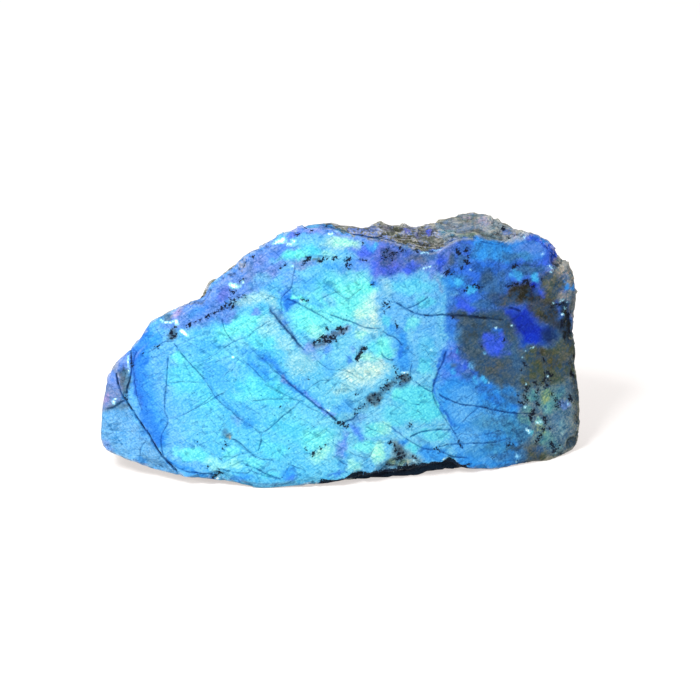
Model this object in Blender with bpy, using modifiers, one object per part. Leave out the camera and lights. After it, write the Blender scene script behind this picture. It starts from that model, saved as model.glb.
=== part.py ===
"""Rough labradorite chunk: one broken piece of feldspar with a ground, gently domed front face.

The stone is made in the order in which a real one gets its shape. A block with the
stone's outline is broken back along fracture planes, its broken faces get their cleavage
facets and ledges, the front is ground to a low dome and the top breaks away in ledges,
shells and pits come off the front, and the underside is levelled where the stone stands.

Working frame, in millimetres until the last step: X runs along the front from its left
tip, Y runs back from the foremost point of the foot, Z is the height above the floor.
The finished mesh is in metres, with the middle of its foot's box at the origin.
"""

import math

import bmesh
import bpy
import numpy as np
from mathutils import Matrix, Vector, noise

NAME = "labradorite_chunk"
MM = 0.001

# Driving dimensions, in millimetres and degrees
LENGTH = 120.0
DEPTH = 50.0
FLANK_DIP = 20.0  # the flanks run back and down at this angle
BLOCK_LENGTH = 160.0  # of the block, along the flanks, before it is broken back
OVERCUT = 60.0  # how far a cutter reaches past the stone

# The outline of the flanks, across (u) and up (v) in a plane square to them. It starts at
# the left tip and runs over the top: left end, long slope, crest, right shoulder, right
# end, and then back along the foot with its arch.
OUTLINE = [
    (-0.1, 13.3), (0.4, 18.0), (0.9, 23.6), (2.3, 28.4), (4.2, 31.4), (6.2, 33.0), (8.0, 35.4),
    (10.2, 39.2), (14.0, 43.0), (17.0, 44.8), (21.0, 46.2), (25.4, 48.8), (28.0, 51.8),
    (31.4, 54.2), (35.0, 56.0), (38.0, 59.0), (42.0, 61.6), (46.2, 63.3), (50.8, 65.6),
    (54.2, 66.4), (57.2, 66.8), (60.0, 65.6), (63.0, 64.8), (65.4, 64.7), (67.6, 65.6),
    (70.4, 66.7), (73.6, 65.7), (76.6, 66.3), (79.6, 65.8), (82.6, 66.5), (85.6, 67.4),
    (88.0, 68.4), (92.8, 69.4), (97.4, 68.4), (99.0, 67.2), (102.0, 66.2), (105.0, 64.3),
    (108.0, 63.5), (111.0, 62.3), (112.6, 61.0), (114.0, 58.8), (117.0, 56.2), (118.6, 52.0),
    (119.2, 47.2), (118.5, 43.2), (118.0, 39.2), (118.6, 35.2), (118.8, 31.2), (119.7, 26.4),
    (119.6, 21.2), (120.2, 13.2), (119.2, 9.8), (116.6, 8.4), (113.0, 7.2), (106.0, 5.6),
    (98.0, 4.7), (92.0, 5.0), (89.0, 5.6), (86.2, 7.0), (82.4, 6.0), (77.6, 5.2), (72.8, 4.0),
    (68.8, 4.2), (64.6, 3.4), (59.6, 2.0), (55.2, 0.9), (48.0, -0.4), (40.0, -0.2),
    (34.0, 0.9), (31.2, 1.5), (25.4, 2.6), (20.6, 3.4), (17.0, 4.2), (12.6, 5.3), (7.6, 7.2),
    (3.6, 8.6), (1.2, 9.6),
]

# The broken planes behind the front: a point, and the way each one faces as a bearing
# (0 faces back, 90 faces right, -90 faces left) and a rise above the horizontal.
FRACTURES = {
    "back": ((62.0, DEPTH, 26.0), 4.0, 3.0),
    "upper back": ((84.0, DEPTH - 7.5, 55.0), 8.0, 40.0),
    "back left": ((14.0, 33.0, 20.0), -34.0, 14.0),
    "back left crest": ((38.0, 34.0, 50.0), -24.0, 36.0),
    "back left foot": ((34.0, 42.0, 8.0), -16.0, -24.0),
    "back right": ((113.0, 40.0, 30.0), 48.0, 8.0),
    "back right crest": ((104.0, 43.0, 46.0), 34.0, 30.0),
    "back foot": ((70.0, DEPTH - 3.0, 3.0), 8.0, -34.0),
    "right end": ((120.6, 30.0, 30.0), 78.0, 2.0),
}

# The ground front: a dome in plan that leans back and rolls off at its rims
DOME_CENTRE_X = 45.0
DOME_RADIUS_LEFT = 180.0
DOME_RADIUS_RIGHT = 116.0
LEAN = 8.0
FOOT_ROLL_HEIGHT = 4.0
FOOT_ROLL = 0.6
RIM_WIDTH = 2.7
RIM_WIDTH_AT_FOOT = 1.1
RIM_DEPTH = 2.4

# The left tip is a second facet, set back behind a curved break line (u, v)
TIP_BREAK = [
    (2.4, 36.0), (4.1, 28.4), (6.1, 22.8), (9.3, 17.1), (12.5, 11.8), (15.3, 7.8), (18.4, 4.1),
    (23.0, 0.0),
]
TIP_STEP = 1.5
TIP_TURN = 12.0
TIP_EDGE_ROLL = 0.5
TIP_EDGE_WIDTH = 3.2

# The upper rim of the front along the broken top: X and height
TOP_RIM = [
    (46.0, 68.0), (50.0, 66.4), (57.5, 64.2), (65.2, 62.9), (69.8, 61.6), (74.5, 60.5),
    (78.6, 59.4), (80.4, 57.4), (82.4, 57.0), (85.0, 57.9), (89.0, 59.7), (92.8, 59.4),
    (96.5, 57.9), (99.4, 57.0), (101.4, 58.2), (103.6, 60.2), (108.0, 63.0), (126.0, 66.0),
]
TOP_HEIGHT = 59.8
TOP_RUN = 9.0  # how far behind the rim the top reaches its own height
LEDGE_RUN = 3.9
LEDGE_RISE = 1.5

# Relief of the broken faces
BLOCK_CELL, BLOCK_SLOPE, BLOCK_STEP = 19.0, 0.34, 2.6
FACET_CELL, FACET_SLOPE, FACET_STEP = 8.5, 0.20, 1.3
LUMP_SIZE, LUMP_RELIEF = 34.0, 1.3
HIGHEST, LOWEST = 1.5, -4.0
FLANK_SET_BACK = 1.1
CLEAVAGES = (Vector((0.25, -0.95, 0.20)), Vector((-0.30, 0.15, 0.94)), Vector((0.90, 0.30, -0.25)))

# Shells and pits in the front: where (u, v), half width, depth, stretch and its direction
PITS = {
    "tip shard": ((6.2, 29.6), 1.5, 1.9, 2.7, 98.0),
    "tip foot": ((3.2, 9.0), 2.2, 1.2, 1.6, -35.0),
    "low slope rim": ((12.4, 41.0), 1.8, 1.3, 1.8, 44.0),
    "slope rim": ((24.0, 47.6), 2.0, 1.4, 1.9, 30.0),
    "upper slope rim": ((34.2, 54.6), 2.1, 1.6, 1.5, 40.0),
    "crest rim": ((43.6, 62.0), 1.8, 1.3, 2.2, 28.0),
    "foot notch": ((29.3, 2.4), 1.6, 1.5, 1.3, 20.0),
    "foot shell": ((50.0, -0.3), 1.5, 1.0, 2.4, -4.0),
    "arch shell": ((73.6, 5.6), 2.6, 1.7, 1.7, 14.0),
    "arch end": ((87.0, 7.0), 1.6, 1.2, 1.5, 60.0),
    "right shoulder": ((114.6, 56.4), 2.3, 1.6, 1.6, -45.0),
    "right notch": ((117.7, 42.4), 1.8, 1.6, 1.8, 86.0),
    "right shell": ((118.8, 31.0), 1.5, 1.3, 2.0, 96.0),
    "right foot": ((118.6, 10.4), 2.0, 1.7, 1.5, 120.0),
}

VOXEL = 1.15
FINE_VOXEL = 0.8
CUTTER_GRID = 1.25
TRIANGLES = 10800


def smoothstep(low, high, value):
    """0 below low, 1 above high, and a smooth ramp between."""
    t = min(1.0, max(0.0, (value - low) / (high - low)))
    return t * t * (3.0 - 2.0 * t)


def along_profile(profile, x):
    """Height of a profile, given as (x, height) points, at x."""
    for (x0, h0), (x1, h1) in zip(profile, profile[1:]):
        if x < x1:
            return h0 + (h1 - h0) * max(0.0, x - x0) / (x1 - x0)
    return profile[-1][1]


def to_outline_plane(x, y, z):
    """(u, v) of a point, seen along the flanks."""
    dip = math.radians(FLANK_DIP)
    return x, z * math.cos(dip) + y * math.sin(dip)


def from_outline_plane(u, v, y):
    """The point at depth y that lies on the flank line through (u, v)."""
    dip = math.radians(FLANK_DIP)
    return Vector((u, y, (v - y * math.sin(dip)) / math.cos(dip)))


def nearest_on_line(point, corners):
    """The nearest point of a chain of (u, v) corners, and the direction of its stretch."""
    best = None
    for start, end in zip(corners, corners[1:]):
        a = Vector(start)
        along = Vector(end) - a
        share = min(1.0, max(0.0, (point - a).dot(along) / along.length_squared))
        spot = a + along * share
        gap = (point - spot).length
        if best is None or gap < best[0]:
            best = (gap, spot, along)
    return best


def distance_to_outline(u, v):
    """Distance from (u, v) to the nearest stretch of the outline."""
    return nearest_on_line(Vector((u, v)), OUTLINE + OUTLINE[:1])[0]


def tip_side(u, v):
    """How far (u, v) lies on the tip's side of the break line, negative on the main face."""
    point = Vector((u, v))
    gap, spot, along = nearest_on_line(point, TIP_BREAK)
    return gap if (point - spot).cross(along) > 0.0 else -gap


def stepped(height, step):
    """The height with two thirds of its slope gathered into steps."""
    count = height / step
    tread = math.floor(count)
    return 0.35 * height + 0.65 * step * (tread + smoothstep(0.32, 0.68, count - tread))


def facets(point, cell, slope, step):
    """Height of the cleavage facets at a point: ledged pieces that each lean along a cleavage."""
    at = point / cell + 0.08 * noise.noise_vector(point / cell * 2.0)
    centre = noise.voronoi(at)[1][0]
    random = noise.cell_vector(centre * 7.0)
    cleavage = CLEAVAGES[int(random.x * 2.999)]
    lean = (at - centre).dot(cleavage) * (1.0 if random.y > 0.5 else -1.0)
    return stepped(cell * slope * (lean + 0.5 * (random.z - 0.5)), step)


def broken_relief(point):
    """Height of the broken surface over its fracture plane, from lumps down to facets."""
    lumps = noise.fractal(point / LUMP_SIZE, 1.0, 2.0, 2) * LUMP_RELIEF
    blocks = facets(point + Vector((31.0, 7.0, 3.0)), BLOCK_CELL, BLOCK_SLOPE, BLOCK_STEP)
    relief = lumps + blocks + facets(point, FACET_CELL, FACET_SLOPE, FACET_STEP)
    return max(LOWEST, min(HIGHEST, relief))


def dome_depth(x, z):
    """Depth of the ground dome at (x, z), before its tip facet and its rims."""
    radius = DOME_RADIUS_LEFT if x < DOME_CENTRE_X else DOME_RADIUS_RIGHT
    return (x - DOME_CENTRE_X) ** 2 / (2.0 * radius) + z * math.tan(math.radians(LEAN))


def front_depth(x, z):
    """Depth of the front at (x, z): the dome, its tip facet and its rolled rims."""
    depth = dome_depth(x, z)
    depth += FOOT_ROLL * max(0.0, 1.0 - z / FOOT_ROLL_HEIGHT) ** 2
    u, v = to_outline_plane(x, depth, z)
    side = tip_side(u, v)
    if side > 0.0:
        depth += TIP_STEP + side * math.tan(math.radians(TIP_TURN))
    else:
        depth += TIP_EDGE_ROLL * max(0.0, 1.0 + side / TIP_EDGE_WIDTH) ** 2
    foot = smoothstep(10.0, 20.0, v)
    width = RIM_WIDTH_AT_FOOT + (RIM_WIDTH - RIM_WIDTH_AT_FOOT) * foot
    rim = distance_to_outline(u, v) + 0.9 * noise.noise(Vector((u, v, 4.0)) / 2.6)
    roll = max(0.0, 1.0 - rim / width)
    rough = facets(Vector((x, 9.0, z)), 3.2, 0.30, 0.6)
    return depth + RIM_DEPTH * width / RIM_WIDTH * roll * roll + rough * min(1.0, 2.0 * roll)


def top_height(x, y):
    """Height of the broken top at (x, y), in ledges that run along the front's upper rim."""
    rim = along_profile(TOP_RIM, x)
    behind = y - dome_depth(x, rim)
    wobble = 1.3 * noise.noise(Vector((x / 8.0, y / 12.0, 2.0)))
    share = smoothstep(0.0, TOP_RUN, behind + wobble)
    height = rim + (max(TOP_HEIGHT, rim) - rim) * share
    ledge = (behind + 2.0 * wobble) / LEDGE_RUN
    step = LEDGE_RISE * (smoothstep(0.30, 0.60, ledge % 1.0) - ledge % 1.0)
    relief = 0.55 * broken_relief(Vector((x, y, 40.0)))
    return height + (step + relief) * smoothstep(0.0, 3.0, behind)


def link(name, mesh, collection):
    """Puts a mesh in the scene as an object of a collection."""
    made = bpy.data.objects.new(name, mesh)
    collection.objects.link(made)
    return made


def outline_block(collection):
    """The block with the stone's outline, running back along the flanks."""
    curve = bpy.data.curves.new("outline", "CURVE")
    curve.dimensions = "2D"
    curve.fill_mode = "BOTH"
    curve.extrude = BLOCK_LENGTH / 2
    spline = curve.splines.new("POLY")
    spline.points.add(len(OUTLINE) - 1)
    for point, (u, v) in zip(spline.points, OUTLINE):
        point.co = (u, v, 0.0, 1.0)
    spline.use_cyclic_u = True
    flat = link("outline", curve, collection)
    bpy.context.view_layer.update()
    graph = bpy.context.evaluated_depsgraph_get()
    mesh = bpy.data.meshes.new_from_object(flat.evaluated_get(graph))
    bpy.data.objects.remove(flat)
    mesh.transform(Matrix.Rotation(math.radians(90.0 - FLANK_DIP), 4, "X"))
    block = link(NAME, mesh, collection)
    bm = bmesh.new()
    bm.from_mesh(mesh)
    bmesh.ops.remove_doubles(bm, verts=bm.verts, dist=0.01)
    bmesh.ops.recalc_face_normals(bm, faces=bm.faces)
    bm.to_mesh(mesh)
    bm.free()
    return block


def facing(bearing, rise):
    """The unit vector with this bearing (0 back, 90 right) and rise, in degrees."""
    turn, up = math.radians(bearing), math.radians(rise)
    return Vector((math.sin(turn) * math.cos(up), math.cos(turn) * math.cos(up), math.sin(up)))


def cut_flat(bm, point, normal):
    """Takes off everything past a plane, and closes the cut with one face."""
    everything = bm.verts[:] + bm.edges[:] + bm.faces[:]
    cut = bmesh.ops.bisect_plane(
        bm, geom=everything, dist=1e-4, plane_co=point, plane_no=normal, clear_outer=True
    )
    rim = [e for e in cut["geom_cut"] if isinstance(e, bmesh.types.BMEdge)]
    bmesh.ops.holes_fill(bm, edges=rim)


def break_back(block):
    """Breaks the block back along its fracture planes, and the front off well ahead of the dome."""
    bm = bmesh.new()
    bm.from_mesh(block.data)
    cut_flat(bm, Vector((0.0, -8.0, 0.0)), Vector((0.0, -1.0, 0.0)))
    cut_flat(bm, Vector((0.0, 0.0, -3.0)), Vector((0.0, 0.0, -1.0)))
    for point, bearing, rise in FRACTURES.values():
        cut_flat(bm, Vector(point), facing(bearing, rise))
    bmesh.ops.recalc_face_normals(bm, faces=bm.faces)
    bm.to_mesh(block.data)
    bm.free()


def apply_modifier(obj, kind, **settings):
    """Adds a modifier with these settings and bakes its result into the object's mesh."""
    modifier = obj.modifiers.new(kind.lower(), kind)
    for key, value in settings.items():
        setattr(modifier, key, value)
    bpy.context.view_layer.update()
    graph = bpy.context.evaluated_depsgraph_get()
    mesh = bpy.data.meshes.new_from_object(obj.evaluated_get(graph))
    obj.modifiers.clear()
    obj.data = mesh


def roughen(block):
    """Moves the broken faces by their relief, and the flanks only inwards, within the outline."""
    moved = []
    for vertex in block.data.vertices:
        point = vertex.co.copy()
        relief = broken_relief(point)
        if distance_to_outline(*to_outline_plane(*point)) < 2.0:
            ahead = max(0.0, point.y - dome_depth(point.x, point.z))
            relief = min(0.0, relief - FLANK_SET_BACK) * smoothstep(2.5, 20.0, ahead)
        moved.append(point + vertex.normal * relief)
    block.data.vertices.foreach_set("co", [c for point in moved for c in point])
    block.data.update()


def as_cutter(name, bm, collection):
    """Makes an object from a mesh that is a tool and isn't part of the stone."""
    mesh = bpy.data.meshes.new(name)
    bm.to_mesh(mesh)
    bm.free()
    made = link(name, mesh, collection)
    made.hide_render = True
    made.display_type = "WIRE"
    return made


def sheet_cutter(name, collection, size, place, far):
    """A solid that cuts along a sheet: a grid over size, moved by place, and thickened by far."""
    across, along = size
    bm = bmesh.new()
    bmesh.ops.create_grid(
        bm,
        x_segments=round(across / CUTTER_GRID),
        y_segments=round(along / CUTTER_GRID),
        size=0.5,
    )
    for vertex in bm.verts:
        vertex.co = place(vertex.co.x * across, vertex.co.y * along)
    sheet = bmesh.ops.extrude_face_region(bm, geom=bm.faces[:])
    moved = [g for g in sheet["geom"] if isinstance(g, bmesh.types.BMVert)]
    for vertex in moved:
        vertex.co += far
    bmesh.ops.triangulate(bm, faces=bm.faces)
    bmesh.ops.recalc_face_normals(bm, faces=bm.faces)
    return as_cutter(name, bm, collection)


def front_cutter(collection):
    """The grinding face that leaves the domed front."""

    def place(across, along):
        x, z = across + LENGTH / 2, along + 35.0
        return Vector((x, front_depth(x, z), z))

    return sheet_cutter(
        "front_cutter", collection, (LENGTH + 12.0, 90.0), place, Vector((0.0, -OVERCUT, 0.0))
    )


def top_cutter(collection):
    """The break that leaves the ledged top, behind and below the crest."""

    def place(across, along):
        x, y = across + 86.0, along + 28.0
        return Vector((x, y, top_height(x, y)))

    return sheet_cutter("top_cutter", collection, (78.0, 72.0), place, Vector((0.0, 0.0, OVERCUT)))


def pit_cutter(name, where, half_width, depth, stretch, direction, collection):
    """A faceted, flattened ball that takes one shell or pit out of the front."""
    u, v = where
    y = 0.0
    for _ in range(6):
        edge = from_outline_plane(u, v, y)
        y = dome_depth(edge.x, edge.z)
    if tip_side(u, v) > 0.0:
        y += TIP_STEP
    seed = Vector((u, v, 0.0))
    bm = bmesh.new()
    bmesh.ops.create_icosphere(bm, subdivisions=2, radius=1.0)
    for vertex in bm.verts:
        vertex.co *= 1.0 + 0.22 * noise.noise(vertex.co * 1.6 + seed)
    shape = Matrix.Diagonal((half_width * stretch, half_width, depth, 1.0))
    turn = Matrix.Rotation(math.radians(direction), 4, "Z")
    upright = Matrix.Rotation(math.radians(90.0 - LEAN), 4, "X")
    bm.transform(Matrix.Translation((u, y, edge.z)) @ upright @ turn @ shape)
    return as_cutter(name, bm, collection)


def drop_crumbs(bm):
    """Takes away every piece but the largest, such as a sliver that a cutter left loose."""
    pieces = []
    left = set(bm.verts)
    while left:
        piece, edge = set(), [left.pop()]
        while edge:
            vertex = edge.pop()
            piece.add(vertex)
            near = {e.other_vert(vertex) for e in vertex.link_edges} & left
            left -= near
            edge.extend(near)
        pieces.append(piece)
    stone = max(pieces, key=len)
    bmesh.ops.delete(bm, geom=[v for v in bm.verts if v not in stone], context="VERTS")


def finish_mesh(stone):
    """Levels the foot, moves the stone to its frame and turns millimetres into metres."""
    bm = bmesh.new()
    bm.from_mesh(stone.data)
    cut_flat(bm, Vector((0.0, 0.0, 0.0)), Vector((0.0, 0.0, -1.0)))
    drop_crumbs(bm)
    bmesh.ops.triangulate(bm, faces=bm.faces)
    points = np.array([v.co for v in bm.verts])
    middle = (points.min(0) + points.max(0)) / 2.0
    bm.transform(Matrix.Scale(MM, 4) @ Matrix.Translation((-middle[0], -middle[1], 0.0)))
    bmesh.ops.recalc_face_normals(bm, faces=bm.faces)
    bm.to_mesh(stone.data)
    bm.free()
    stone.data.set_sharp_from_angle(angle=math.radians(24.0))


def stone_material():
    """Grey-blue feldspar."""
    material = bpy.data.materials.new("labradorite")
    material.use_nodes = True
    shader = material.node_tree.nodes["Principled BSDF"]
    shader.inputs["Base Color"].default_value = (0.10, 0.34, 0.62, 1.0)
    shader.inputs["Roughness"].default_value = 0.4
    shader.inputs["Metallic"].default_value = 0.0
    return material


def build():
    """Makes the stone."""
    for obj in list(bpy.data.objects):
        bpy.data.objects.remove(obj)
    stones = bpy.data.collections.new("rough_labradorite_chunk")
    cutters = bpy.data.collections.new("cutters")
    for collection in (stones, cutters):
        bpy.context.scene.collection.children.link(collection)
    stone = outline_block(stones)
    break_back(stone)
    apply_modifier(stone, "REMESH", mode="VOXEL", voxel_size=VOXEL)
    roughen(stone)
    apply_modifier(stone, "REMESH", mode="VOXEL", voxel_size=FINE_VOXEL)
    apply_modifier(stone, "TRIANGULATE")
    front_cutter(cutters)
    top_cutter(cutters)
    for name, pit in PITS.items():
        pit_cutter(name, *pit, cutters)
    apply_modifier(
        stone,
        "BOOLEAN",
        operand_type="COLLECTION",
        collection=cutters,
        operation="DIFFERENCE",
        solver="EXACT",
    )
    apply_modifier(stone, "TRIANGULATE")
    apply_modifier(stone, "DECIMATE", ratio=TRIANGLES / len(stone.data.polygons))
    finish_mesh(stone)
    stone.data.materials.append(stone_material())


build()
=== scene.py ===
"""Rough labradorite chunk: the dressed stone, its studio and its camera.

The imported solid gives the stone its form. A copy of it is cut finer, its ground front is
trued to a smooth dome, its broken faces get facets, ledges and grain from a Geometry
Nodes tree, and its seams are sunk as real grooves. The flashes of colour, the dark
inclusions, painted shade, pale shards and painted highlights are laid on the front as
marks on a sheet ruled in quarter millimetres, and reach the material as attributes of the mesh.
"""

from __future__ import annotations

import logging
import math
from dataclasses import dataclass, field
from enum import Enum
from typing import Sequence

import bmesh
import bpy
import numpy as np
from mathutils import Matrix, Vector, noise
from mathutils.bvhtree import BVHTree

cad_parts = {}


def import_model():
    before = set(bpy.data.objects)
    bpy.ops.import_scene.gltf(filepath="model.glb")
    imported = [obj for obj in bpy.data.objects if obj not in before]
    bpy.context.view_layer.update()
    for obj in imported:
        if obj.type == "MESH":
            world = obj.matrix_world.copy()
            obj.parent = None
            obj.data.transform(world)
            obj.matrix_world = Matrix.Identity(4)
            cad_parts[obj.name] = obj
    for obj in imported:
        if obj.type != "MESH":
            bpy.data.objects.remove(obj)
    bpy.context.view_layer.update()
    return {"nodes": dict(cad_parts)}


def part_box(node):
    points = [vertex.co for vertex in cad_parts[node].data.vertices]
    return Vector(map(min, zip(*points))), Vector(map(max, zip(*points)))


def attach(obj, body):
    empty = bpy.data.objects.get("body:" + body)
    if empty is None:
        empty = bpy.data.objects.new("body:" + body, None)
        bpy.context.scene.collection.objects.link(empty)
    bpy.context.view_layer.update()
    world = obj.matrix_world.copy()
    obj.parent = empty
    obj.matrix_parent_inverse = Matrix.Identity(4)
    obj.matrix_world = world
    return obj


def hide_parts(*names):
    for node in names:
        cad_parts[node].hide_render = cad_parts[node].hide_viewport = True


LOG = logging.getLogger("labradorite")
SHEET_UNIT = 0.00025
NODE = "labradorite_chunk"
MM = 0.001

Point = tuple[float, float]
Path = tuple[Point, ...]

# The way up the cleavage ledges, and the size of their wandering in millimetres.
CLEAVAGE_RISE = (0.30, 0.42, 0.86)
LEDGE_WANDER = 1.0 / 0.12
# What mottling, stains and painted shade in the hollows do to a colour's red, green and blue.
DEEPER = (0.28, 0.62, 0.82)
PALER = (1.60, 1.24, 1.04)
PALE_HAZE = (0.008, 0.020, 0.030)
PIN_STAIN = (0.08, 0.32, 0.48)
SEAM_STAIN = (0.10, 0.30, 0.46)
# painted shade: how much darker the hollows of the broken faces are drawn
HOLLOW_SHADE = (0.22, 0.20, 0.20)
# The spacing of the dark pinpricks, in millimetres.
PIN_CELL = 1.6
# Stripes and veins of the crystal: rise in degrees, length and width in millimetres, strength.
STRIPES = ((29.0, 3.5, 0.42, 0.60), (-44.0, 3.0, 0.50, 0.35))
VEINS = ((31.0, 14.0, 1.7, 0.50), (-42.0, 16.0, 3.0, 0.45), (4.0, 14.0, 3.4, 0.35))
# A grain's depth where no grain is near, on the sheet.
NO_GRAIN = -6.0
# Fixes the noise by which the marks' edges stray: unseeded, it follows the clock.
NOISE_SEED = 7


# --- Node benches ---


class Wire:
    """A node socket that takes part in Python expressions."""

    def __init__(self, bench: "NodeBench", socket: bpy.types.NodeSocket) -> None:
        """Wraps a socket.

        Args:
            bench: the bench that places the nodes of the expressions.
            socket: the output socket that is wrapped.
        """
        self.bench = bench
        self.socket = socket

    def __add__(self, other: "Wire | float") -> "Wire":
        """Sum."""
        return self.bench.math("ADD", self, other)

    def __radd__(self, other: float) -> "Wire":
        """Sum with a number on the left."""
        return self.bench.math("ADD", other, self)

    def __sub__(self, other: "Wire | float") -> "Wire":
        """Difference."""
        return self.bench.math("SUBTRACT", self, other)

    def __rsub__(self, other: float) -> "Wire":
        """Difference from a number."""
        return self.bench.math("SUBTRACT", other, self)

    def __mul__(self, other: "Wire | float") -> "Wire":
        """Product."""
        return self.bench.math("MULTIPLY", self, other)

    def __rmul__(self, other: float) -> "Wire":
        """Product with a number on the left."""
        return self.bench.math("MULTIPLY", other, self)

    def __truediv__(self, other: "Wire | float") -> "Wire":
        """Quotient."""
        return self.bench.math("DIVIDE", self, other)

    def __rtruediv__(self, other: float) -> "Wire":
        """Quotient of a number."""
        return self.bench.math("DIVIDE", other, self)

    def ramp(self, low: float, high: float) -> "Wire":
        """Smooth ramp from 0 at low to 1 at high.

        Args:
            low: the value that gives 0.
            high: the value that gives 1; it may be the lower of the two.

        Returns:
            The ramp's output.
        """
        if low > high:
            return 1.0 - self.ramp(high, low)
        node = self.bench.add(
            "ShaderNodeMapRange",
            {"interpolation_type": "SMOOTHSTEP"},
            {"Value": self, "From Min": low, "From Max": high},
        )
        return Wire(self.bench, node.outputs["Result"])


class NodeBench:
    """Places nodes in one tree and joins them."""

    def __init__(self, tree: bpy.types.NodeTree) -> None:
        """Takes a tree and empties it.

        Args:
            tree: the shader or geometry tree to work in.
        """
        self.tree = tree
        tree.nodes.clear()

    def add(
        self,
        kind: str,
        settings: dict[str, object] | None = None,
        inputs: dict[str | int, object] | None = None,
    ) -> bpy.types.Node:
        """Places one node.

        Args:
            kind: the node's type name.
            settings: its own settings, which are set first.
            inputs: a value, a wire or a socket for each named or numbered input.

        Returns:
            The new node.
        """
        node = self.tree.nodes.new(kind)
        for name, value in (settings or {}).items():
            setattr(node, name, value)
        for key, value in (inputs or {}).items():
            socket = node.inputs[key]
            if isinstance(value, Wire):
                self.tree.links.new(value.socket, socket)
            elif isinstance(value, bpy.types.NodeSocket):
                self.tree.links.new(value, socket)
            else:
                socket.default_value = value
        return node

    def math(self, operation: str, *values: Wire | float) -> Wire:
        """Places a Math node.

        Args:
            operation: the Math node's operation.
            values: its inputs in order.

        Returns:
            Its result.
        """
        node = self.add("ShaderNodeMath", {"operation": operation}, dict(enumerate(values)))
        return Wire(self, node.outputs[0])

    def vector(self, operation: str, *values: Wire | Sequence[float]) -> Wire:
        """Places a Vector Math node.

        Args:
            operation: the node's operation.
            values: its inputs in order; for SCALE the second is the factor.

        Returns:
            Its result: a number for DOT_PRODUCT, and a vector otherwise.
        """
        inputs: dict[str | int, object] = dict(enumerate(values))
        if operation == "SCALE":
            inputs = {0: values[0], "Scale": values[1]}
        node = self.add("ShaderNodeVectorMath", {"operation": operation}, inputs)
        return Wire(self, node.outputs["Value" if operation == "DOT_PRODUCT" else "Vector"])

    def mix(self, factor: Wire | float, a: object, b: object, blend: str = "MIX") -> Wire:
        """Mixes two colours.

        Args:
            factor: 0 gives a, 1 gives b.
            a: the first colour.
            b: the second colour.
            blend: the way they are laid over each other.

        Returns:
            The mixed colour.
        """
        settings = {"data_type": "RGBA", "blend_type": blend}
        node = self.add("ShaderNodeMix", settings, {0: factor, 6: a, 7: b})
        return Wire(self, node.outputs[2])

    def finish(self, surface: dict[str | int, object]) -> None:
        """Ends a material's tree with a Principled surface that takes these inputs."""
        shader = self.add("ShaderNodeBsdfPrincipled", None, surface)
        self.add("ShaderNodeOutputMaterial", None, {"Surface": shader.outputs["BSDF"]})


class StoneBench(NodeBench):
    """A bench for a tree whose patterns follow the stone.

    Attributes:
        place: the position in millimetres, which a tree sets before its patterns.
    """

    place: Wire

    def clouds(self, size: Wire | float, detail: float = 3.0, place: Wire | None = None) -> Wire:
        """Cloudy noise.

        Args:
            size: the size of its grain.
            detail: how many finer layers it has.
            place: where it is read, if not at the stone's own place.

        Returns:
            Its value, about 0 to 1.
        """
        inputs = {"Vector": place or self.place, "Scale": 1.0 / size, "Detail": detail}
        return Wire(self, self.add("ShaderNodeTexNoise", None, inputs).outputs["Fac"])

    def cells(self, size: Wire | float) -> tuple[Wire, Wire]:
        """Flat facets, one to a cell, each tilted its own way.

        Args:
            size: the size of the cells.

        Returns:
            The facet's height, up to about half of that size, and a number for each cell.
        """
        node = self.add("ShaderNodeTexVoronoi", None, {"Vector": self.place, "Scale": 1.0 / size})
        away = self.vector("SUBTRACT", self.place, node.outputs["Position"])
        tilt = self.vector("SUBTRACT", Wire(self, node.outputs["Color"]), (0.5, 0.5, 0.5))
        parts = self.add("ShaderNodeSeparateXYZ", None, {0: node.outputs["Color"]})
        return self.vector("DOT_PRODUCT", away, tilt), Wire(self, parts.outputs[0])


# --- Colours and marks of the front face ---


class Tint(Enum):
    """The stone's colours, as display values from 0 to 255."""

    AZURE = (98, 180, 253)
    SOFT = (116, 206, 248)
    PERI = (104, 148, 246)
    DUSK = (112, 142, 208)
    HAZE = (152, 214, 236)
    SKY = (48, 150, 250)
    CYAN = (86, 217, 248)
    SPARK = (64, 178, 255)
    FROST = (172, 190, 216)
    ICE = (112, 240, 244)
    AQUA = (160, 244, 234)
    CREAM = (212, 244, 232)
    LILAC = (128, 152, 242)
    VIOLET = (96, 110, 232)
    ROSE = (172, 152, 222)
    ROYAL = (52, 92, 248)
    COBALT = (30, 112, 232)
    DEEP = (6, 40, 192)
    NAVY = (16, 44, 104)
    SLATE = (66, 88, 108)
    SMOKE = (82, 89, 91)
    STEEL = (56, 108, 166)
    UMBER = (42, 40, 30)
    BROWN = (71, 75, 60)
    OLIVE = (80, 87, 62)
    SAND = (155, 153, 140)
    MOSS = (138, 168, 128)
    TEAL = (94, 162, 172)
    MIST = (109, 144, 168)
    BONE = (240, 242, 236)
    INK = (6, 10, 22)
    CHAR = (22, 26, 24)
    INDIGO = (6, 52, 228)
    OCHRE = (84, 81, 50)
    MOSSY = (78, 86, 62)
    LIME = (152, 200, 148)
    RIND = (116, 102, 82)
    MURK = (32, 60, 88)
    LAGOON = (62, 142, 200)
    GLOOM = (48, 66, 82)
    ASH = (138, 140, 136)
    CHALK = (184, 182, 180)

    def linear(self) -> np.ndarray:
        """The colour as scene-linear values."""
        shown = np.array(self.value, float) / 255.0
        return np.where(shown <= 0.04045, shown / 12.92, ((shown + 0.055) / 1.055) ** 2.4)

    def rgba(self) -> tuple[float, float, float, float]:
        """The colour as a node's socket takes it."""
        red, green, blue = self.linear()
        return (float(red), float(green), float(blue), 1.0)


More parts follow.
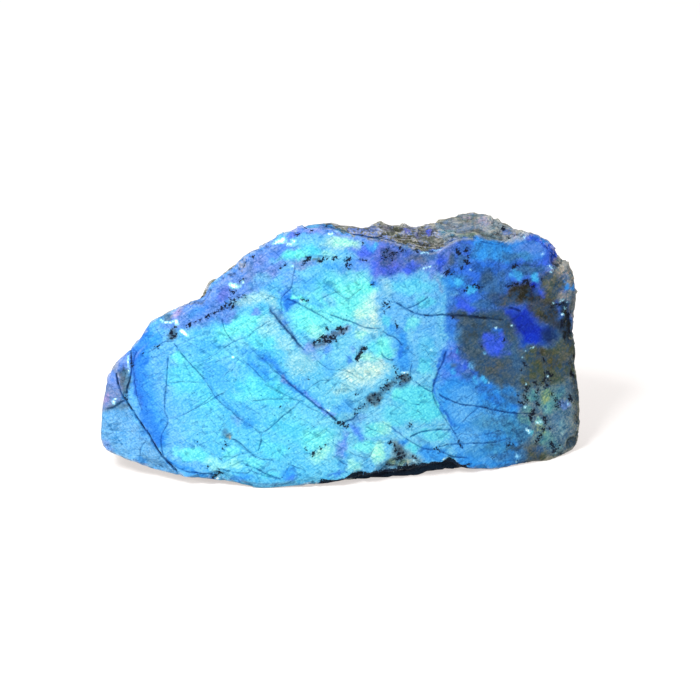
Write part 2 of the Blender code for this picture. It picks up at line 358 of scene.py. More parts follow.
# Each tint by its own name.
(
    AZURE, SOFT, PERI, DUSK, HAZE, SKY, CYAN, SPARK, FROST, ICE, AQUA, CREAM, LILAC, VIOLET, ROSE,
    ROYAL, COBALT, DEEP, NAVY, SLATE, SMOKE, STEEL, UMBER, BROWN, OLIVE, SAND, MOSS, TEAL, MIST,
    BONE, INK, CHAR, INDIGO, OCHRE, MOSSY, LIME, RIND, MURK, LAGOON, GLOOM, ASH, CHALK,
) = Tint


@dataclass(frozen=True)
class Pool:
    """A soft oval of colour.

    Attributes:
        x: its middle on the sheet, to the right.
        y: its middle on the sheet, down.
        wide: half its width.
        high: half its height.
        tint: its colour.
        strength: how much it covers, up to 1.
        turn: degrees anticlockwise.
        soft: the share of its radius over which it fades.
    """

    x: float
    y: float
    wide: float
    high: float
    tint: Tint
    strength: float = 0.6
    turn: float = 0.0
    soft: float = 0.6

    def box(self) -> tuple[Path, float]:
        """The points that it spreads from and how far."""
        return ((self.x, self.y),), max(self.wide, self.high)

    def cover(self, spots: np.ndarray) -> np.ndarray:
        """How much of this colour lies at each spot.

        Args:
            spots: places on the sheet.

        Returns:
            A share from 0 to 1 for each of them.
        """
        angle = math.radians(self.turn)
        dx, dy = spots[:, 0] - self.x, self.y - spots[:, 1]
        along = (dx * math.cos(angle) + dy * math.sin(angle)) / self.wide
        across = (dy * math.cos(angle) - dx * math.sin(angle)) / self.high
        return self.strength * fade(np.hypot(along, across), 1.0, 1.0 - self.soft)


@dataclass(frozen=True)
class Field:
    """A patch of colour with a drawn outline.

    Attributes:
        outline: its corners on the sheet, in order.
        tint: its colour.
        strength: how much it covers, up to 1.
        soft: the width of its edge.
    """

    outline: Path
    tint: Tint
    strength: float = 1.0
    soft: float = 5.0

    def box(self) -> tuple[Path, float]:
        """The points that it spreads from and how far."""
        return self.outline, self.soft

    def cover(self, spots: np.ndarray) -> np.ndarray:
        """How much of this colour lies at each spot.

        Args:
            spots: places on the sheet.

        Returns:
            A share from 0 to 1 for each of them.
        """
        corners = np.array(self.outline + self.outline[:1], float)
        gap = path_distance(spots, corners)
        inside = np.zeros(len(spots), bool)
        for (x0, y0), (x1, y1) in zip(corners, corners[1:]):
            crosses = (spots[:, 1] < y0) != (spots[:, 1] < y1)
            reach = x0 + (x1 - x0) * (spots[:, 1] - y0) / ((y1 - y0) or 1.0)
            inside ^= crosses & (spots[:, 0] < reach)
        signed = np.where(inside, gap, -gap)
        return self.strength * fade(signed, -0.5 * self.soft, 0.5 * self.soft)


@dataclass(frozen=True)
class Stroke:
    """A soft stroke of colour along a path.

    Attributes:
        path: its points on the sheet.
        width: its full width.
        tint: its colour.
        strength: how much it covers, up to 1.
        soft: the share of its half width over which it fades.
    """

    path: Path
    width: float
    tint: Tint
    strength: float = 1.0
    soft: float = 0.7

    def box(self) -> tuple[Path, float]:
        """The points that it spreads from and how far."""
        return self.path, 0.5 * self.width

    def cover(self, spots: np.ndarray) -> np.ndarray:
        """How much of this colour lies at each spot.

        Args:
            spots: places on the sheet.

        Returns:
            A share from 0 to 1 for each of them.
        """
        gap = path_distance(spots, rounded(self.path)) / (0.5 * self.width)
        return self.strength * fade(gap, 1.0, 1.0 - self.soft)


Mark = Pool | Field | Stroke


@dataclass(frozen=True)
class Seam:
    """A crack or healed seam, sunk into the face as a groove.

    Attributes:
        path: its points on the sheet.
        width: its width.
        dark: how dark its line is, up to 1.
        depth: the groove's depth in millimetres.
    """

    path: Path
    width: float = 1.3
    dark: float = 0.6
    depth: float = 0.10

    def box(self) -> tuple[Path, float]:
        """The points that it spreads from and how far."""
        return self.path, self.width


@dataclass(frozen=True)
class Spot:
    """A hard-edged grain in the face: dark inclusions, pale shards, painted highlights and painted shade.

    Attributes:
        path: its points on the sheet; one point makes it round.
        radius: its half width.
        recessed: whether it is painted shade, shown only where the stone stands back from the ground face.
    """

    path: Path
    radius: float
    recessed: bool = False

    def box(self) -> tuple[Path, float]:
        """The points that it spreads from and how far."""
        return self.path, self.radius + 5.0


@dataclass(frozen=True)
class Nudge:
    """A small shift of the stone's outline.

    Attributes:
        at: its middle on the sheet.
        reach: how far it works from there.
        shift: the shift in its middle, in sheet units to the right and down.
        behind: only what lies this many millimetres behind the ground face moves.
    """

    at: Point
    reach: float
    shift: Point
    behind: float = -9.0


def grains(paths_by_radius: dict[float, tuple[Point | Path, ...]]) -> tuple[Spot, ...]:
    """Makes grains from lists of paths and single points, one list for each radius.

    Args:
        paths_by_radius: the paths and points of each radius.

    Returns:
        The grains.
    """
    made = []
    for radius, paths in paths_by_radius.items():
        for path in paths:
            made.append(Spot(path if isinstance(path[0], tuple) else (path,), radius))
    return tuple(made)


def hairlines(paths_by_line: dict[Point, tuple[Path, ...]]) -> tuple[Seam, ...]:
    """Makes seams from lists of paths, one list for each width and darkness."""
    return tuple(Seam(path, *line) for line, paths in paths_by_line.items() for path in paths)


def within(spots: np.ndarray, box: tuple[Path, float], extra: float = 0.0) -> np.ndarray:
    """Which spots lie in a mark's box.

    Args:
        spots: places on the sheet.
        box: the mark's points and how far it spreads from them.
        extra: how much further to look.

    Returns:
        The indices of those spots.
    """
    points, margin = np.array(box[0], float), box[1] + extra
    low, high = points.min(0) - margin, points.max(0) + margin
    return np.flatnonzero(((spots > low) & (spots < high)).all(axis=1))


def fade(value: np.ndarray, low: float, high: float) -> np.ndarray:
    """Smooth ramp from 0 at low to 1 at high.

    Args:
        value: the values to ramp.
        low: the value that gives 0.
        high: the value that gives 1; it may be the lower of the two.

    Returns:
        The ramped values.
    """
    share = np.clip((value - low) / (high - low), 0.0, 1.0)
    return share * share * (3.0 - 2.0 * share)


def path_distance(spots: np.ndarray, path: np.ndarray) -> np.ndarray:
    """Distance from each spot to the nearest point of a path.

    Args:
        spots: places on the sheet.
        path: the path's points; one point is a path too.

    Returns:
        One distance for each spot.
    """
    nearest = np.hypot(spots[:, 0] - path[0][0], spots[:, 1] - path[0][1])
    for start, end in zip(path, path[1:]):
        along = end - start
        share = np.clip(((spots - start) @ along) / max(along @ along, 1e-9), 0.0, 1.0)
        gap = spots - start - share[:, None] * along
        nearest = np.minimum(nearest, np.hypot(gap[:, 0], gap[:, 1]))
    return nearest


def rounded(path: Path, steps: int = 3) -> np.ndarray:
    """Rounds the corners of a path.

    Args:
        path: its points.
        steps: how many points to lay for each stretch.

    Returns:
        The points of a curve through the same points.
    """
    points = np.array(path, float)
    if len(points) < 3:
        return points
    ends = np.vstack((2.0 * points[0] - points[1], points, 2.0 * points[-1] - points[-2]))
    curve = []
    for a, b, c, d in zip(ends, ends[1:], ends[2:], ends[3:]):
        for t in np.arange(steps) / steps:
            bend = (2 * a - 5 * b + 4 * c - d) * t**2 + (3 * b - a - 3 * c + d) * t**3
            curve.append(b + 0.5 * ((c - a) * t + bend))
    return np.array(curve + [points[-1]])


def smooth_noise(places: np.ndarray, size: float, salt: float) -> np.ndarray:
    """Smooth three-part noise at each place.

    Args:
        places: one row of coordinates for each place.
        size: the noise's grain, in the unit of the coordinates.
        salt: a number that tells this noise from the others.

    Returns:
        Three values of about -1 to 1 for each place.
    """
    rows = places / size
    depth = rows[:, 2] if rows.shape[1] > 2 else np.zeros(len(rows))
    return np.array(
        [noise.noise_vector(Vector((x, y, z + salt)))[:] for x, y, z in zip(rows[:, 0], rows[:, 1], depth)]
    )


# Small shifts that true the outline.
NUDGES: tuple[Nudge, ...] = (
    Nudge((140, 335), 34, (4.0, 2.5)),
    Nudge((178, 303), 34, (3.0, 3.5)),
    Nudge((222, 268), 32, (1.5, 2.0)),
    Nudge((262, 244), 32, (1.0, 2.5)),
    Nudge((318, 222), 40, (0, 2.0)),
    Nudge((515, 228), 24, (0, 2.2)),
    Nudge((578, 285), 34, (2.8, 0)),
    Nudge((582, 345), 36, (2.0, 0)),
    Nudge((582, 410), 44, (2.6, 0)),
    Nudge((226, 486), 40, (0, -4.0)),
    Nudge((305, 492), 46, (0, -3.0)),
    Nudge((545, 458), 24, (2.5, 2.0)),
    Nudge((392, 472), 26, (0, 8.0), 5.0),
    Nudge((418, 468), 26, (0, 8.0), 4.4),
    Nudge((444, 464), 24, (0, 8.0), 3.8),
    Nudge((368, 476), 24, (0, 8.0), 5.2),
    Nudge((346, 479), 26, (0, 5.0), 5.0),
    Nudge((199, 291), 16, (2.5, 3.2)),
    Nudge((159, 312), 14, (1.5, 2.4)),
    Nudge((381, 221), 16, (0, -2.6)),
)
# Patches off the ground face that are smooth all the same.
CALMS: tuple[Mark, ...] = (
    Field(((80, 340), (134, 350), (134, 400), (150, 437), (178, 475), (150, 500), (60, 480)),
        AZURE, 0.95, 6),
    Stroke(((120, 362), (132, 345), (150, 328), (166, 314)), 26, AZURE, 0.8),
)
# The left tip, beyond its ledge.
TIP = ((80, 400), (124, 402), (147, 437), (175, 475), (150, 500), (70, 470))
# Soft colours of the face, broad ones first: each lies over those before it.
FLASHES: tuple[Mark, ...] = (
    # the broad flashes
    Field(((120, 345), (240, 285), (330, 250), (360, 490), (160, 490)), AZURE, 1.0, 16),
    Field(((190, 330), (250, 300), (330, 262), (360, 490), (230, 490), (200, 450), (180, 400)),
        CYAN, 0.4, 40),
    Pool(292, 425, 34, 20, CYAN, 0.5, -30),
    Pool(330, 445, 22, 22, AQUA, 0.35),
    Pool(245, 340, 30, 24, SOFT, 0.5),
    Field(((296, 250), (448, 262), (452, 470), (320, 470)), SOFT, 0.7, 40),
    Field(((448, 225), (590, 225), (600, 330), (450, 330)), ROYAL, 0.8, 16),
    Field(((455, 316), (600, 316), (600, 480), (470, 480)), STEEL, 0.8, 16),
    # the left tip, beyond its ledge
    Field(TIP, PERI, 1.0, 6),
    Field(TIP, SOFT, 0.5, 6),
    Pool(130, 446, 26, 18, AZURE, 0.4, -25),
    Pool(104, 448, 8, 12, LILAC, 0.55, 20),
    Pool(140, 462, 10, 6, SKY, 0.7, -20),
    Field(((90, 412), (96, 385), (112, 350), (126, 348), (124, 372), (122, 400), (112, 408)),
        DUSK, 1.0, 6),
    Pool(112, 382, 8, 12, PERI, 0.8, 20),
    Pool(107, 399, 6, 6, ROSE, 0.55),
    Field(((114, 360), (128, 352), (131, 360), (129, 372), (117, 372)), PERI, 0.95, 4.5),
    Field(((117, 372), (129, 370), (130, 382), (125, 396), (121, 390)), SLATE, 0.8, 4),
    Field(((102, 408), (112, 406), (124, 400), (129, 405), (118, 411), (104, 413)),
        SMOKE, 0.55, 4.5),
    Stroke(((96, 398), (98, 408), (97, 420)), 5, SAND, 0.4),
    # the left end of the face
    Stroke(((152, 330), (140, 352), (139, 380), (147, 405), (158, 432), (167, 456)),
        30, AZURE, 0.75, 0.8),
    Stroke(((150, 335), (144, 352), (142, 368), (144, 388), (149, 406), (156, 424), (160, 440)),
        30, SKY, 0.75, 0.9),
    Stroke(((146, 332), (138, 346), (135, 362), (137, 385), (142, 404), (149, 422), (157, 440)),
        17, COBALT, 0.7, 0.8),
    Stroke(((133, 352), (132, 368), (134, 386), (139, 402)), 8, DEEP, 0.35, 0.8),
    Pool(145, 361, 10, 7, COBALT, 0.7, 50),
    Pool(144, 372, 6, 8, COBALT, 0.45),
    Pool(156, 336, 12, 8, SKY, 0.7, 35),
    Pool(158, 350, 9, 7, AZURE),
    Pool(172, 440, 12, 18, AZURE, 0.5),
    Pool(184, 378, 24, 22, CYAN, 0.55, -30),
    Pool(180, 358, 9, 9, ICE, 0.7, -40),
    Pool(206, 398, 16, 14, CYAN, 0.4, -40),
    Pool(186, 425, 20, 12, SOFT, 0.4),
    Pool(192, 455, 26, 9, ICE, 0.75, -8),
    Pool(214, 462, 14, 8, AQUA, 0.5, -10),
    Pool(233, 463, 13, 7, AQUA, 0.6, -12),
    Pool(232, 451, 10, 7, ICE, 0.5, 20),
    Stroke(((168, 463), (182, 469), (198, 473), (214, 476)), 7, SKY, 0.75),
    Pool(238, 478, 12, 4, COBALT, 0.6, -8),
    Pool(226, 431, 4, 8, STEEL, 0.75, 35),
    Pool(230, 435, 4, 5, OCHRE, 0.6, 30),
    Pool(232, 437, 2.2, 3.5, SAND, 0.8, 30),
    # between the first two cracks
    Stroke(((202, 372), (208, 384), (218, 396), (230, 406), (246, 420)), 9, SKY, 0.55, 0.9),
    Pool(205, 345, 22, 10, SKY, 0.35, 10),
    Pool(216, 375, 22, 12, SKY, 0.5, -45),
    Pool(262, 386, 30, 13, CYAN, 0.8, -8),
    Pool(240, 326, 34, 14, ICE, 0.75, 22),
    Pool(262, 340, 26, 14, CYAN, 0.7, -35),
    Pool(245, 408, 24, 9, SKY, 0.35, -35),
    Pool(228, 366, 16, 9, AZURE, 0.6, -30),
    Pool(250, 352, 16, 5, SKY, 0.4, -20),
    Pool(268, 327, 18, 15, HAZE, 0.6, -40),
    # the upper left rim
    Field(((160, 325), (200, 292), (240, 258), (270, 238), (300, 245), (262, 290), (232, 312),
        (186, 332)), PERI, 0.9, 10),
    Pool(222, 292, 13, 9, VIOLET, 0.7, 40),
    Pool(196, 312, 14, 6, SKY, 0.6, 35),
    Pool(208, 305, 12, 5, COBALT, 0.35, 35),
    Pool(228, 316, 14, 5, VIOLET, 0.55, 25),
    Pool(250, 275, 14, 8, DUSK, 0.6, 40),
    Pool(276, 252, 12, 6, COBALT, 0.45, 20),
    Pool(258, 260, 10, 6, LILAC, 0.6, 40),
    Pool(248, 300, 26, 8, HAZE, 0.8, 8),
    Pool(268, 300, 12, 8, HAZE, 0.7, -40),
    Pool(258, 285, 16, 7, AZURE, 0.5, 10),
    Pool(254, 312, 8, 5, VIOLET, 0.65, -10),
    Pool(273, 272, 12, 8, LILAC, 0.4, -20),
    Pool(246, 266, 9, 5, DUSK, 0.6, 40),
    Pool(177, 313, 11, 6, ROSE, 0.7, 20),
    Pool(167, 318, 7, 4, SLATE, 0.7, 30),
    Pool(183, 310, 6, 3, DUSK, 0.6, 25),
    Pool(235, 284, 6, 4, AQUA, 0.9),
    Pool(241, 264, 4, 3, SAND, 0.6, 40),
    Pool(229, 271, 5, 2, UMBER, 0.7, 20),
    Stroke(((172, 307), (190, 304), (204, 298)), 3, SMOKE, 0.6),
    Pool(174, 333, 6, 9, SLATE, 0.8, -20),
    # the upper middle
    Stroke(((280, 244), (292, 236), (306, 229), (322, 230), (345, 236), (375, 241)),
        10, PERI, 0.85),
    Pool(295, 234, 11, 4, VIOLET, 0.6, 25),
    Pool(312, 228, 12, 5, LILAC, 0.7),
    Pool(280, 240, 9, 4, AQUA, 0.8, 10),
    Pool(340, 243, 30, 8, HAZE, 1.0, -6),
    Pool(345, 242, 14, 6, AQUA, 0.8, -6),
    Pool(308, 243, 22, 7, SOFT, 0.7, 5),
    Pool(293, 255, 20, 6, ICE, 0.95, 12),
    Pool(312, 250, 16, 7, CYAN, 0.8, -15),
    Pool(330, 254, 10, 4, AQUA),
    Pool(274, 259, 8, 4, SOFT, 0.5),
    Pool(305, 264, 20, 4, PERI, 0.6, 4),
    Pool(316, 260, 9, 3.2, BROWN, 0.75, 4),
    Field(((352, 248), (380, 242), (400, 250), (400, 285), (372, 284), (356, 262)),
        VIOLET, 0.75, 12),
    Pool(365, 251, 14, 8, ROYAL, 0.7),
    Pool(376, 268, 10, 12, ROYAL),
    Pool(350, 271, 14, 9, VIOLET, 0.5),
    Pool(363, 268, 8, 6, AZURE),
    Pool(372, 245, 8, 5, SKY, 0.7),
    Pool(376, 243, 5, 4, CYAN, 0.5),
    Pool(334, 266, 16, 7, SKY),
    Pool(314, 284, 26, 15, SKY),
    Pool(315, 274, 14, 6, SOFT, 0.4),
    Pool(290, 278, 12, 14, PERI, 0.5),
    Pool(262, 278, 12, 8, SOFT, 0.5),
    Pool(285, 292, 8, 6, ROYAL, 0.5, 40),
    Field(((281, 298), (284, 292), (290, 301), (297, 304), (289, 311), (284, 313)),
        COBALT, 0.9, 4.5),
    Pool(274, 302, 6, 9, HAZE, 0.8),
    Stroke(((289, 299), (296, 301), (304, 303)), 4.5, ICE, 0.95),
    Pool(358, 288, 28, 10, ICE, 0.9, -8),
    Field(((316, 282), (352, 268), (372, 276), (374, 296), (352, 322), (322, 330), (296, 318)),
        ICE, 0.55, 16),
    Pool(352, 306, 30, 14, ICE, 0.65, -10),
    Pool(306, 323, 22, 14, ICE, 0.75, -25),
    Pool(318, 332, 14, 9, AQUA, 0.5, -25),
    Pool(328, 300, 14, 7, PERI, 0.4, -30),
    Pool(330, 288, 10, 8, SKY, 0.4),
    Pool(314, 304, 12, 4, SKY, 0.5, -25),
    Field(((364, 298), (378, 292), (383, 318), (378, 332), (362, 336), (356, 318)),
        CREAM, 0.42, 12),
    Pool(357, 313, 8, 6, CREAM, 0.4, 30),
    Pool(374, 318, 6, 12, CREAM, 0.4),
    Pool(362, 336, 10, 7, AQUA, 0.7),
    Pool(375, 285, 6, 6, SKY, 0.7),
    Pool(372, 284, 3.5, 3.5, COBALT, 0.7),
    Pool(376, 348, 8, 10, CYAN, 0.7),
    Field(((268, 308), (276, 308), (286, 320), (293, 334), (303, 348), (316, 352), (310, 360),
        (298, 348), (284, 331), (274, 318)), DUSK, 0.6, 8),
    Stroke(((270, 311), (277, 319), (288, 334), (300, 347)), 5, STEEL, 0.6, 0.8),
    Pool(286, 324, 3, 5, COBALT, 0.5, -40),
    Pool(281, 313, 4, 4, ROYAL, 0.4),
    Pool(310, 349, 9, 7, PERI, 0.7, -30),
    Pool(284, 345, 14, 12, HAZE, 0.6, -40),
    Stroke(((312, 346), (322, 342), (332, 337), (344, 330)), 16, DUSK, 0.7, 0.8),
    Stroke(((314, 345), (324, 340), (334, 336), (344, 330)), 8, SLATE, 0.7, 0.8),
    Pool(326, 349, 10, 6, ROYAL, 0.5, 20),
    Pool(316, 357, 7, 5, PERI, 0.4),
    Pool(343, 345, 9, 7, SOFT),
    # the lower middle
    Pool(300, 365, 20, 18, HAZE, 0.7, -20),
    Pool(268, 358, 7, 12, SKY, 0.6, 10),
    Pool(250, 352, 12, 6, SKY, 0.45),
    Field(((244, 358), (250, 359), (268, 374), (272, 384), (264, 382), (252, 371)), SKY, 0.9, 9),
    Pool(256, 367, 6, 4, COBALT, 0.35, -45),
    Stroke(((262, 357), (270, 366), (283, 377), (297, 388), (309, 396), (322, 407)),
        13, SKY, 0.6, 0.8),
    Stroke(((264, 360), (272, 367), (281, 376), (289, 381), (298, 389), (306, 394)),
        7, COBALT, 0.55, 0.7),
    Stroke(((280, 377), (288, 381), (297, 388)), 4, DUSK, 0.6),
    Stroke(((308, 396), (320, 406), (334, 417)), 7, PERI, 0.8),
    Pool(328, 366, 9, 16, SKY, 0.45),
    Pool(348, 361, 4, 6, COBALT, 0.75),
    Pool(352, 351, 5, 4, PERI, 0.5),
    Field(((338, 374), (360, 362), (380, 355), (385, 372), (370, 384), (348, 386)), CREAM, 0.6, 12),
    Pool(370, 370, 10, 6, CREAM, 0.4, 20),
    Pool(345, 390, 16, 7, HAZE, 0.8),
    Pool(366, 357, 12, 5, AQUA, 0.7, -5),
    Pool(378, 355, 6, 6, ICE),
    Pool(344, 408, 16, 9, SKY, 0.6, 10),
    Pool(358, 418, 12, 6, PERI, 0.4, 20),
    Field(((348, 425), (356, 424), (364, 436), (362, 441), (352, 433)), ROYAL, 0.7, 7.5),
    Pool(343, 438, 6, 14, PERI, 0.5),
    Field(((335, 443), (345, 437), (350, 448), (344, 461), (334, 458)), PERI, 0.85, 7.5),
    Pool(347, 457, 4, 5, SKY),
    Pool(306, 384, 10, 8, AZURE, 0.5),
    Pool(275, 398, 24, 10, CYAN, 0.5),
    Pool(245, 394, 20, 7, ICE, 0.45),
    Pool(250, 424, 12, 7, SKY, 0.65, -35),
    Pool(236, 420, 10, 6, PERI, 0.45, -40),
    Pool(316, 437, 22, 14, ICE, 0.6, 30),
    Pool(320, 454, 16, 9, AQUA, 0.65, 30),
    Pool(290, 415, 26, 14, SOFT, 0.35),
    Pool(275, 450, 22, 12, CYAN, 0.6, -10),
    Pool(255, 462, 14, 6, ICE, 0.5, -10),
    Pool(365, 447, 16, 9, ICE, 0.6, 10),
    Pool(378, 455, 10, 12, AQUA, 0.7),
    Pool(356, 466, 12, 6, AQUA, 0.6, 15),
    Pool(375, 430, 16, 10, ICE),
    Pool(290, 474, 10, 8, SKY, 0.85),
    Pool(291, 479, 7, 5, ROYAL, 0.5),
    Pool(245, 476, 13, 5, SKY, 0.75, -6),
    Pool(336, 474, 13, 4, COBALT, 0.8, 12),
    Pool(345, 466, 8, 5, SKY, 0.5),
    Pool(272, 474, 14, 5, CYAN, 0.5, -10),
    # painted shade: a navy strip along the raised bottom edge, standing in for the shadow under it
    Stroke(((318, 484), (335, 481), (352, 479), (370, 477), (386, 475)), 5, NAVY, 0.85, 0.5),
    Stroke(((240, 481), (262, 484), (290, 484.5), (312, 481)), 3, STEEL, 0.6),
    # the right middle, above
    Field(((378, 236), (452, 236), (452, 274), (400, 274), (378, 282)), VIOLET, 0.75, 10),
    Pool(392, 268, 14, 8, ROYAL),
    Pool(411, 268, 12, 7, ROYAL, 0.85),
    Pool(440, 262, 6, 13, ROYAL, 0.95),
    Pool(409, 250, 7, 7, ROYAL, 0.55),
    Pool(415, 257, 16, 6, SMOKE, 0.6, 6),
    Pool(390, 253, 12, 7, SMOKE, 0.6, -10),
    Pool(430, 256, 8, 8, STEEL),
    Pool(426, 262, 6, 7, DUSK, 0.5),
    Field(((380, 280), (398, 274), (420, 276), (436, 284), (440, 300), (438, 330), (444, 360),
        (414, 372), (412, 330), (380, 318)), AZURE, 0.9, 12),
    Pool(410, 288, 28, 12, CYAN, 0.55),
    Pool(388, 290, 8, 16, HAZE, 0.5),
    Pool(424, 304, 14, 9, CYAN),
    Pool(412, 324, 12, 8, ICE, 0.55, 20),
    Pool(427, 350, 14, 22, CYAN, 0.35),
    Pool(424, 366, 10, 9, CYAN),
    Pool(391, 328, 10, 9, SKY, 0.75),
    Pool(400, 331, 6, 10, COBALT, 0.55, 20),
    Pool(386, 320, 5, 7, CYAN),
    Stroke(((428, 270), (435, 281), (441, 292)), 8, DUSK, 0.55, 0.8),
    Pool(430, 274, 8, 5, PERI, 0.7),
    Pool(452, 258, 9, 11, SLATE, 0.85),
    Pool(463, 262, 6, 10, STEEL, 0.8),
    Pool(464, 248, 8, 6, STEEL),
    Pool(455, 281, 18, 10, SKY, 0.85),
    Pool(450, 293, 10, 8, SKY),
    Pool(454, 296, 5, 3, AZURE, 0.7),
    Pool(461, 284, 7, 4, SPARK, 0.95, -30),
    Pool(472, 289, 6, 5, SPARK, 1.0),
    Pool(447, 286, 4, 4, AZURE),
    Pool(466, 307, 13, 6, ROYAL, 0.9, -25),
    Pool(455, 309, 6, 4, DUSK, 0.5),
    Pool(452, 330, 9, 14, COBALT, 0.7),
    # the right middle, below
    Field(((393, 338), (402, 330), (410, 340), (412, 368), (402, 372), (393, 360)), SKY, 0.9, 9),
    Pool(398, 349, 5, 9, COBALT, 0.75),
    Pool(406, 343, 3, 5, STEEL),
    Pool(384, 346, 9, 14, ICE, 0.85),
    Pool(386, 366, 7, 6, HAZE),
    Stroke(((342, 423), (356, 413), (370, 401), (386, 388), (398, 378), (408, 372)),
        15, STEEL, 0.34, 0.9),
    Stroke(((366, 405), (380, 394), (394, 381), (406, 374)), 8, SLATE, 0.3, 0.9),
    Pool(405, 379, 9, 9, SLATE, 0.9, 30),
    Pool(402, 386, 10, 5, STEEL, 0.85, 10),
    Pool(374, 400, 9, 9, SLATE, 0.85, 30),
    Pool(385, 387, 8, 5, SLATE, 0.75, 35),
    Stroke(((356.5, 359), (360.5, 352.5), (365, 348)), 5, NAVY, 0.7),
    Pool(415, 396, 30, 14, CYAN, 0.85),
    Pool(396, 395, 9, 6, ICE),
    Pool(424, 412, 26, 16, CYAN, 0.9),
    Pool(395, 415, 18, 14, CYAN),
    Pool(384, 428, 12, 12, AQUA, 0.6, -30),
    Pool(398, 428, 10, 4, AZURE, 0.6, -35),
    Pool(432, 436, 26, 8, CYAN),
    Pool(420, 440, 8, 8, AZURE, 0.5),
    Pool(403, 442, 7, 8, SKY, 0.8),
    Pool(412, 449, 8, 5, CYAN, 0.7),
    Field(((418, 450), (428, 445), (445, 452), (446, 461), (424, 463)), SKY, 0.9, 7.5),
    Pool(380, 450, 8, 12, AQUA, 0.8),
    Field(((380, 474), (386, 462), (392, 450), (394, 438), (402, 440), (406, 452), (416, 455),
        (424, 462), (416, 468), (400, 474)), MIST, 0.8, 6),
    Pool(399, 451, 7, 13, SLATE),
    Pool(390, 464, 8, 6, MOSS, 0.6, 30),
    Pool(402, 463, 8, 4, MOSS, 0.55, 15),
    Pool(400, 452, 5, 7, SLATE, 0.7),
    Pool(404, 441, 8, 4, SKY),
    Field(((441, 355), (448, 340), (462, 344), (480, 376), (470, 386), (440, 388), (436, 375)),
        ROYAL, 0.65, 12),
    Pool(455, 356, 9, 6, VIOLET, 0.5),
    Pool(452, 368, 10, 8, SKY),
    Pool(466, 366, 6, 5, ROYAL),
    Pool(457, 366, 5, 5, SLATE, 0.7),
    Pool(467, 376, 6, 4, STEEL, 0.7),
    Field(((436, 385), (455, 378), (500, 384), (520, 408), (515, 470), (455, 470), (450, 425),
        (440, 410)), SKY, 0.95, 10),
    Pool(465, 410, 22, 18, AZURE, 0.75),
    Pool(468, 392, 20, 9, AZURE, 0.5),
    Stroke(((446, 350), (438, 368), (434, 388), (438, 405), (450, 424)), 7, COBALT, 0.7),
    Pool(485, 388, 14, 7, COBALT, 0.7),
    Pool(493, 398, 10, 6, COBALT),
    Pool(512, 388, 5, 7, SKY, 0.9),
    Pool(504, 395, 7, 8, STEEL, 0.7),
    Pool(488, 422, 22, 14, AZURE, 0.65),
    Pool(468, 440, 24, 20, AZURE, 0.7),
    Pool(480, 450, 22, 9, LAGOON, 0.4),
    Pool(490, 460, 14, 5, AZURE),
    Pool(514, 425, 10, 14, SKY, 0.5),
    Pool(517, 408, 10, 5, COBALT, 0.5),
    # the right end, above
    Field(((470, 238), (505, 236), (510, 262), (470, 264)), SKY, 0.95, 9),
    Field(((500, 236), (545, 232), (556, 250), (540, 258), (500, 262)), SKY, 0.8, 12),
    Pool(484, 252, 12, 7, SKY, 0.7),
    Pool(530, 246, 16, 9, COBALT, 0.5),
    Pool(550, 256, 13, 12, ROYAL, 0.8, -50),
    Stroke(((524, 234), (540, 240), (552, 250), (559, 262)), 8, ROYAL, 0.8),
    Pool(530, 248, 24, 10, PERI),
    Pool(494, 248, 22, 12, SKY, 0.5),
    Pool(522, 257, 14, 5, LAGOON),
    Pool(510, 256, 9, 6, STEEL, 0.7),
    Field(((448, 268), (512, 262), (516, 300), (500, 318), (452, 318), (446, 300)),
        COBALT, 0.55, 10),
    Pool(485, 268, 16, 6, COBALT, 0.7),
    Pool(528, 269, 26, 7, STEEL, 0.9),
    Pool(490, 284, 16, 16, STEEL, 0.85),
    Pool(486, 276, 10, 8, GLOOM, 0.55),
    Pool(496, 296, 12, 10, GLOOM, 0.75),
    Pool(482, 304, 16, 8, STEEL, 0.8),
    Pool(503, 275, 6, 9, STEEL),
    Pool(455, 281, 16, 9, SKY, 0.8),
    Pool(452, 294, 9, 6, AZURE, 0.45),
    Pool(461, 284, 8, 5, SPARK, 0.95, -30),
    Pool(472, 289, 7, 6, SPARK, 1.0),
    Pool(462, 300, 12, 5, ROYAL, 0.7),
    Pool(466, 307, 13, 6, ROYAL, 0.9, -25),
    Pool(516, 275, 9, 7, SPARK, 0.8),
    Pool(534, 278, 6, 8, SPARK, 1.0, 20),
    Field(((540, 276), (556, 270), (564, 282), (562, 304), (546, 304), (540, 290)), OLIVE, 0.95, 9),
    Pool(551, 286, 5, 10, SAND, 0.25, 15),
    Pool(557, 272, 8, 8, SAND, 0.75),
    Pool(551, 269, 9, 4, DUSK, 0.5),
    Field(((500, 300), (507, 286), (514, 283), (528, 281), (538, 288), (548, 296), (556, 300),
        (556, 324), (534, 320), (528, 307), (500, 308)), BROWN, 0.9, 7.5),
    Field(((506, 290), (512, 284), (528, 282), (536, 290), (544, 297), (530, 303), (508, 302)),
        UMBER, 1.0, 6),
    Field(((529, 284), (538, 285), (546, 291), (545, 297), (536, 294)), ROYAL, 0.9, 4.5),
    Pool(534, 287, 5, 4, DEEP, 0.9),
    Pool(548, 310, 16, 12, UMBER, 0.5),
    Pool(543, 314, 9, 7, BROWN, 0.8),
    Pool(500, 303, 9, 3, OLIVE, 0.7),
    Field(((504, 311), (514, 311), (530, 311), (534, 320), (552, 328), (552, 342), (520, 348),
        (518, 330), (506, 322)), DEEP, 1.0, 17),
    Pool(524, 324, 16, 14, DEEP, 1.0),
    Pool(536, 332, 16, 10, DEEP, 0.9),
    Pool(509, 315, 5, 6, INDIGO, 0.7),
    Pool(531, 339, 11, 6, INDIGO, 0.7),
    Pool(547, 332, 10, 10, NAVY),
    Pool(550, 313, 12, 8, UMBER, 0.8),
    Pool(538, 309, 8, 5, BROWN, 0.8),
    Pool(526, 344, 7, 5, COBALT),
    Pool(551, 334, 9, 12, NAVY, 0.9),
    Pool(556, 322, 8, 8, UMBER, 0.7),
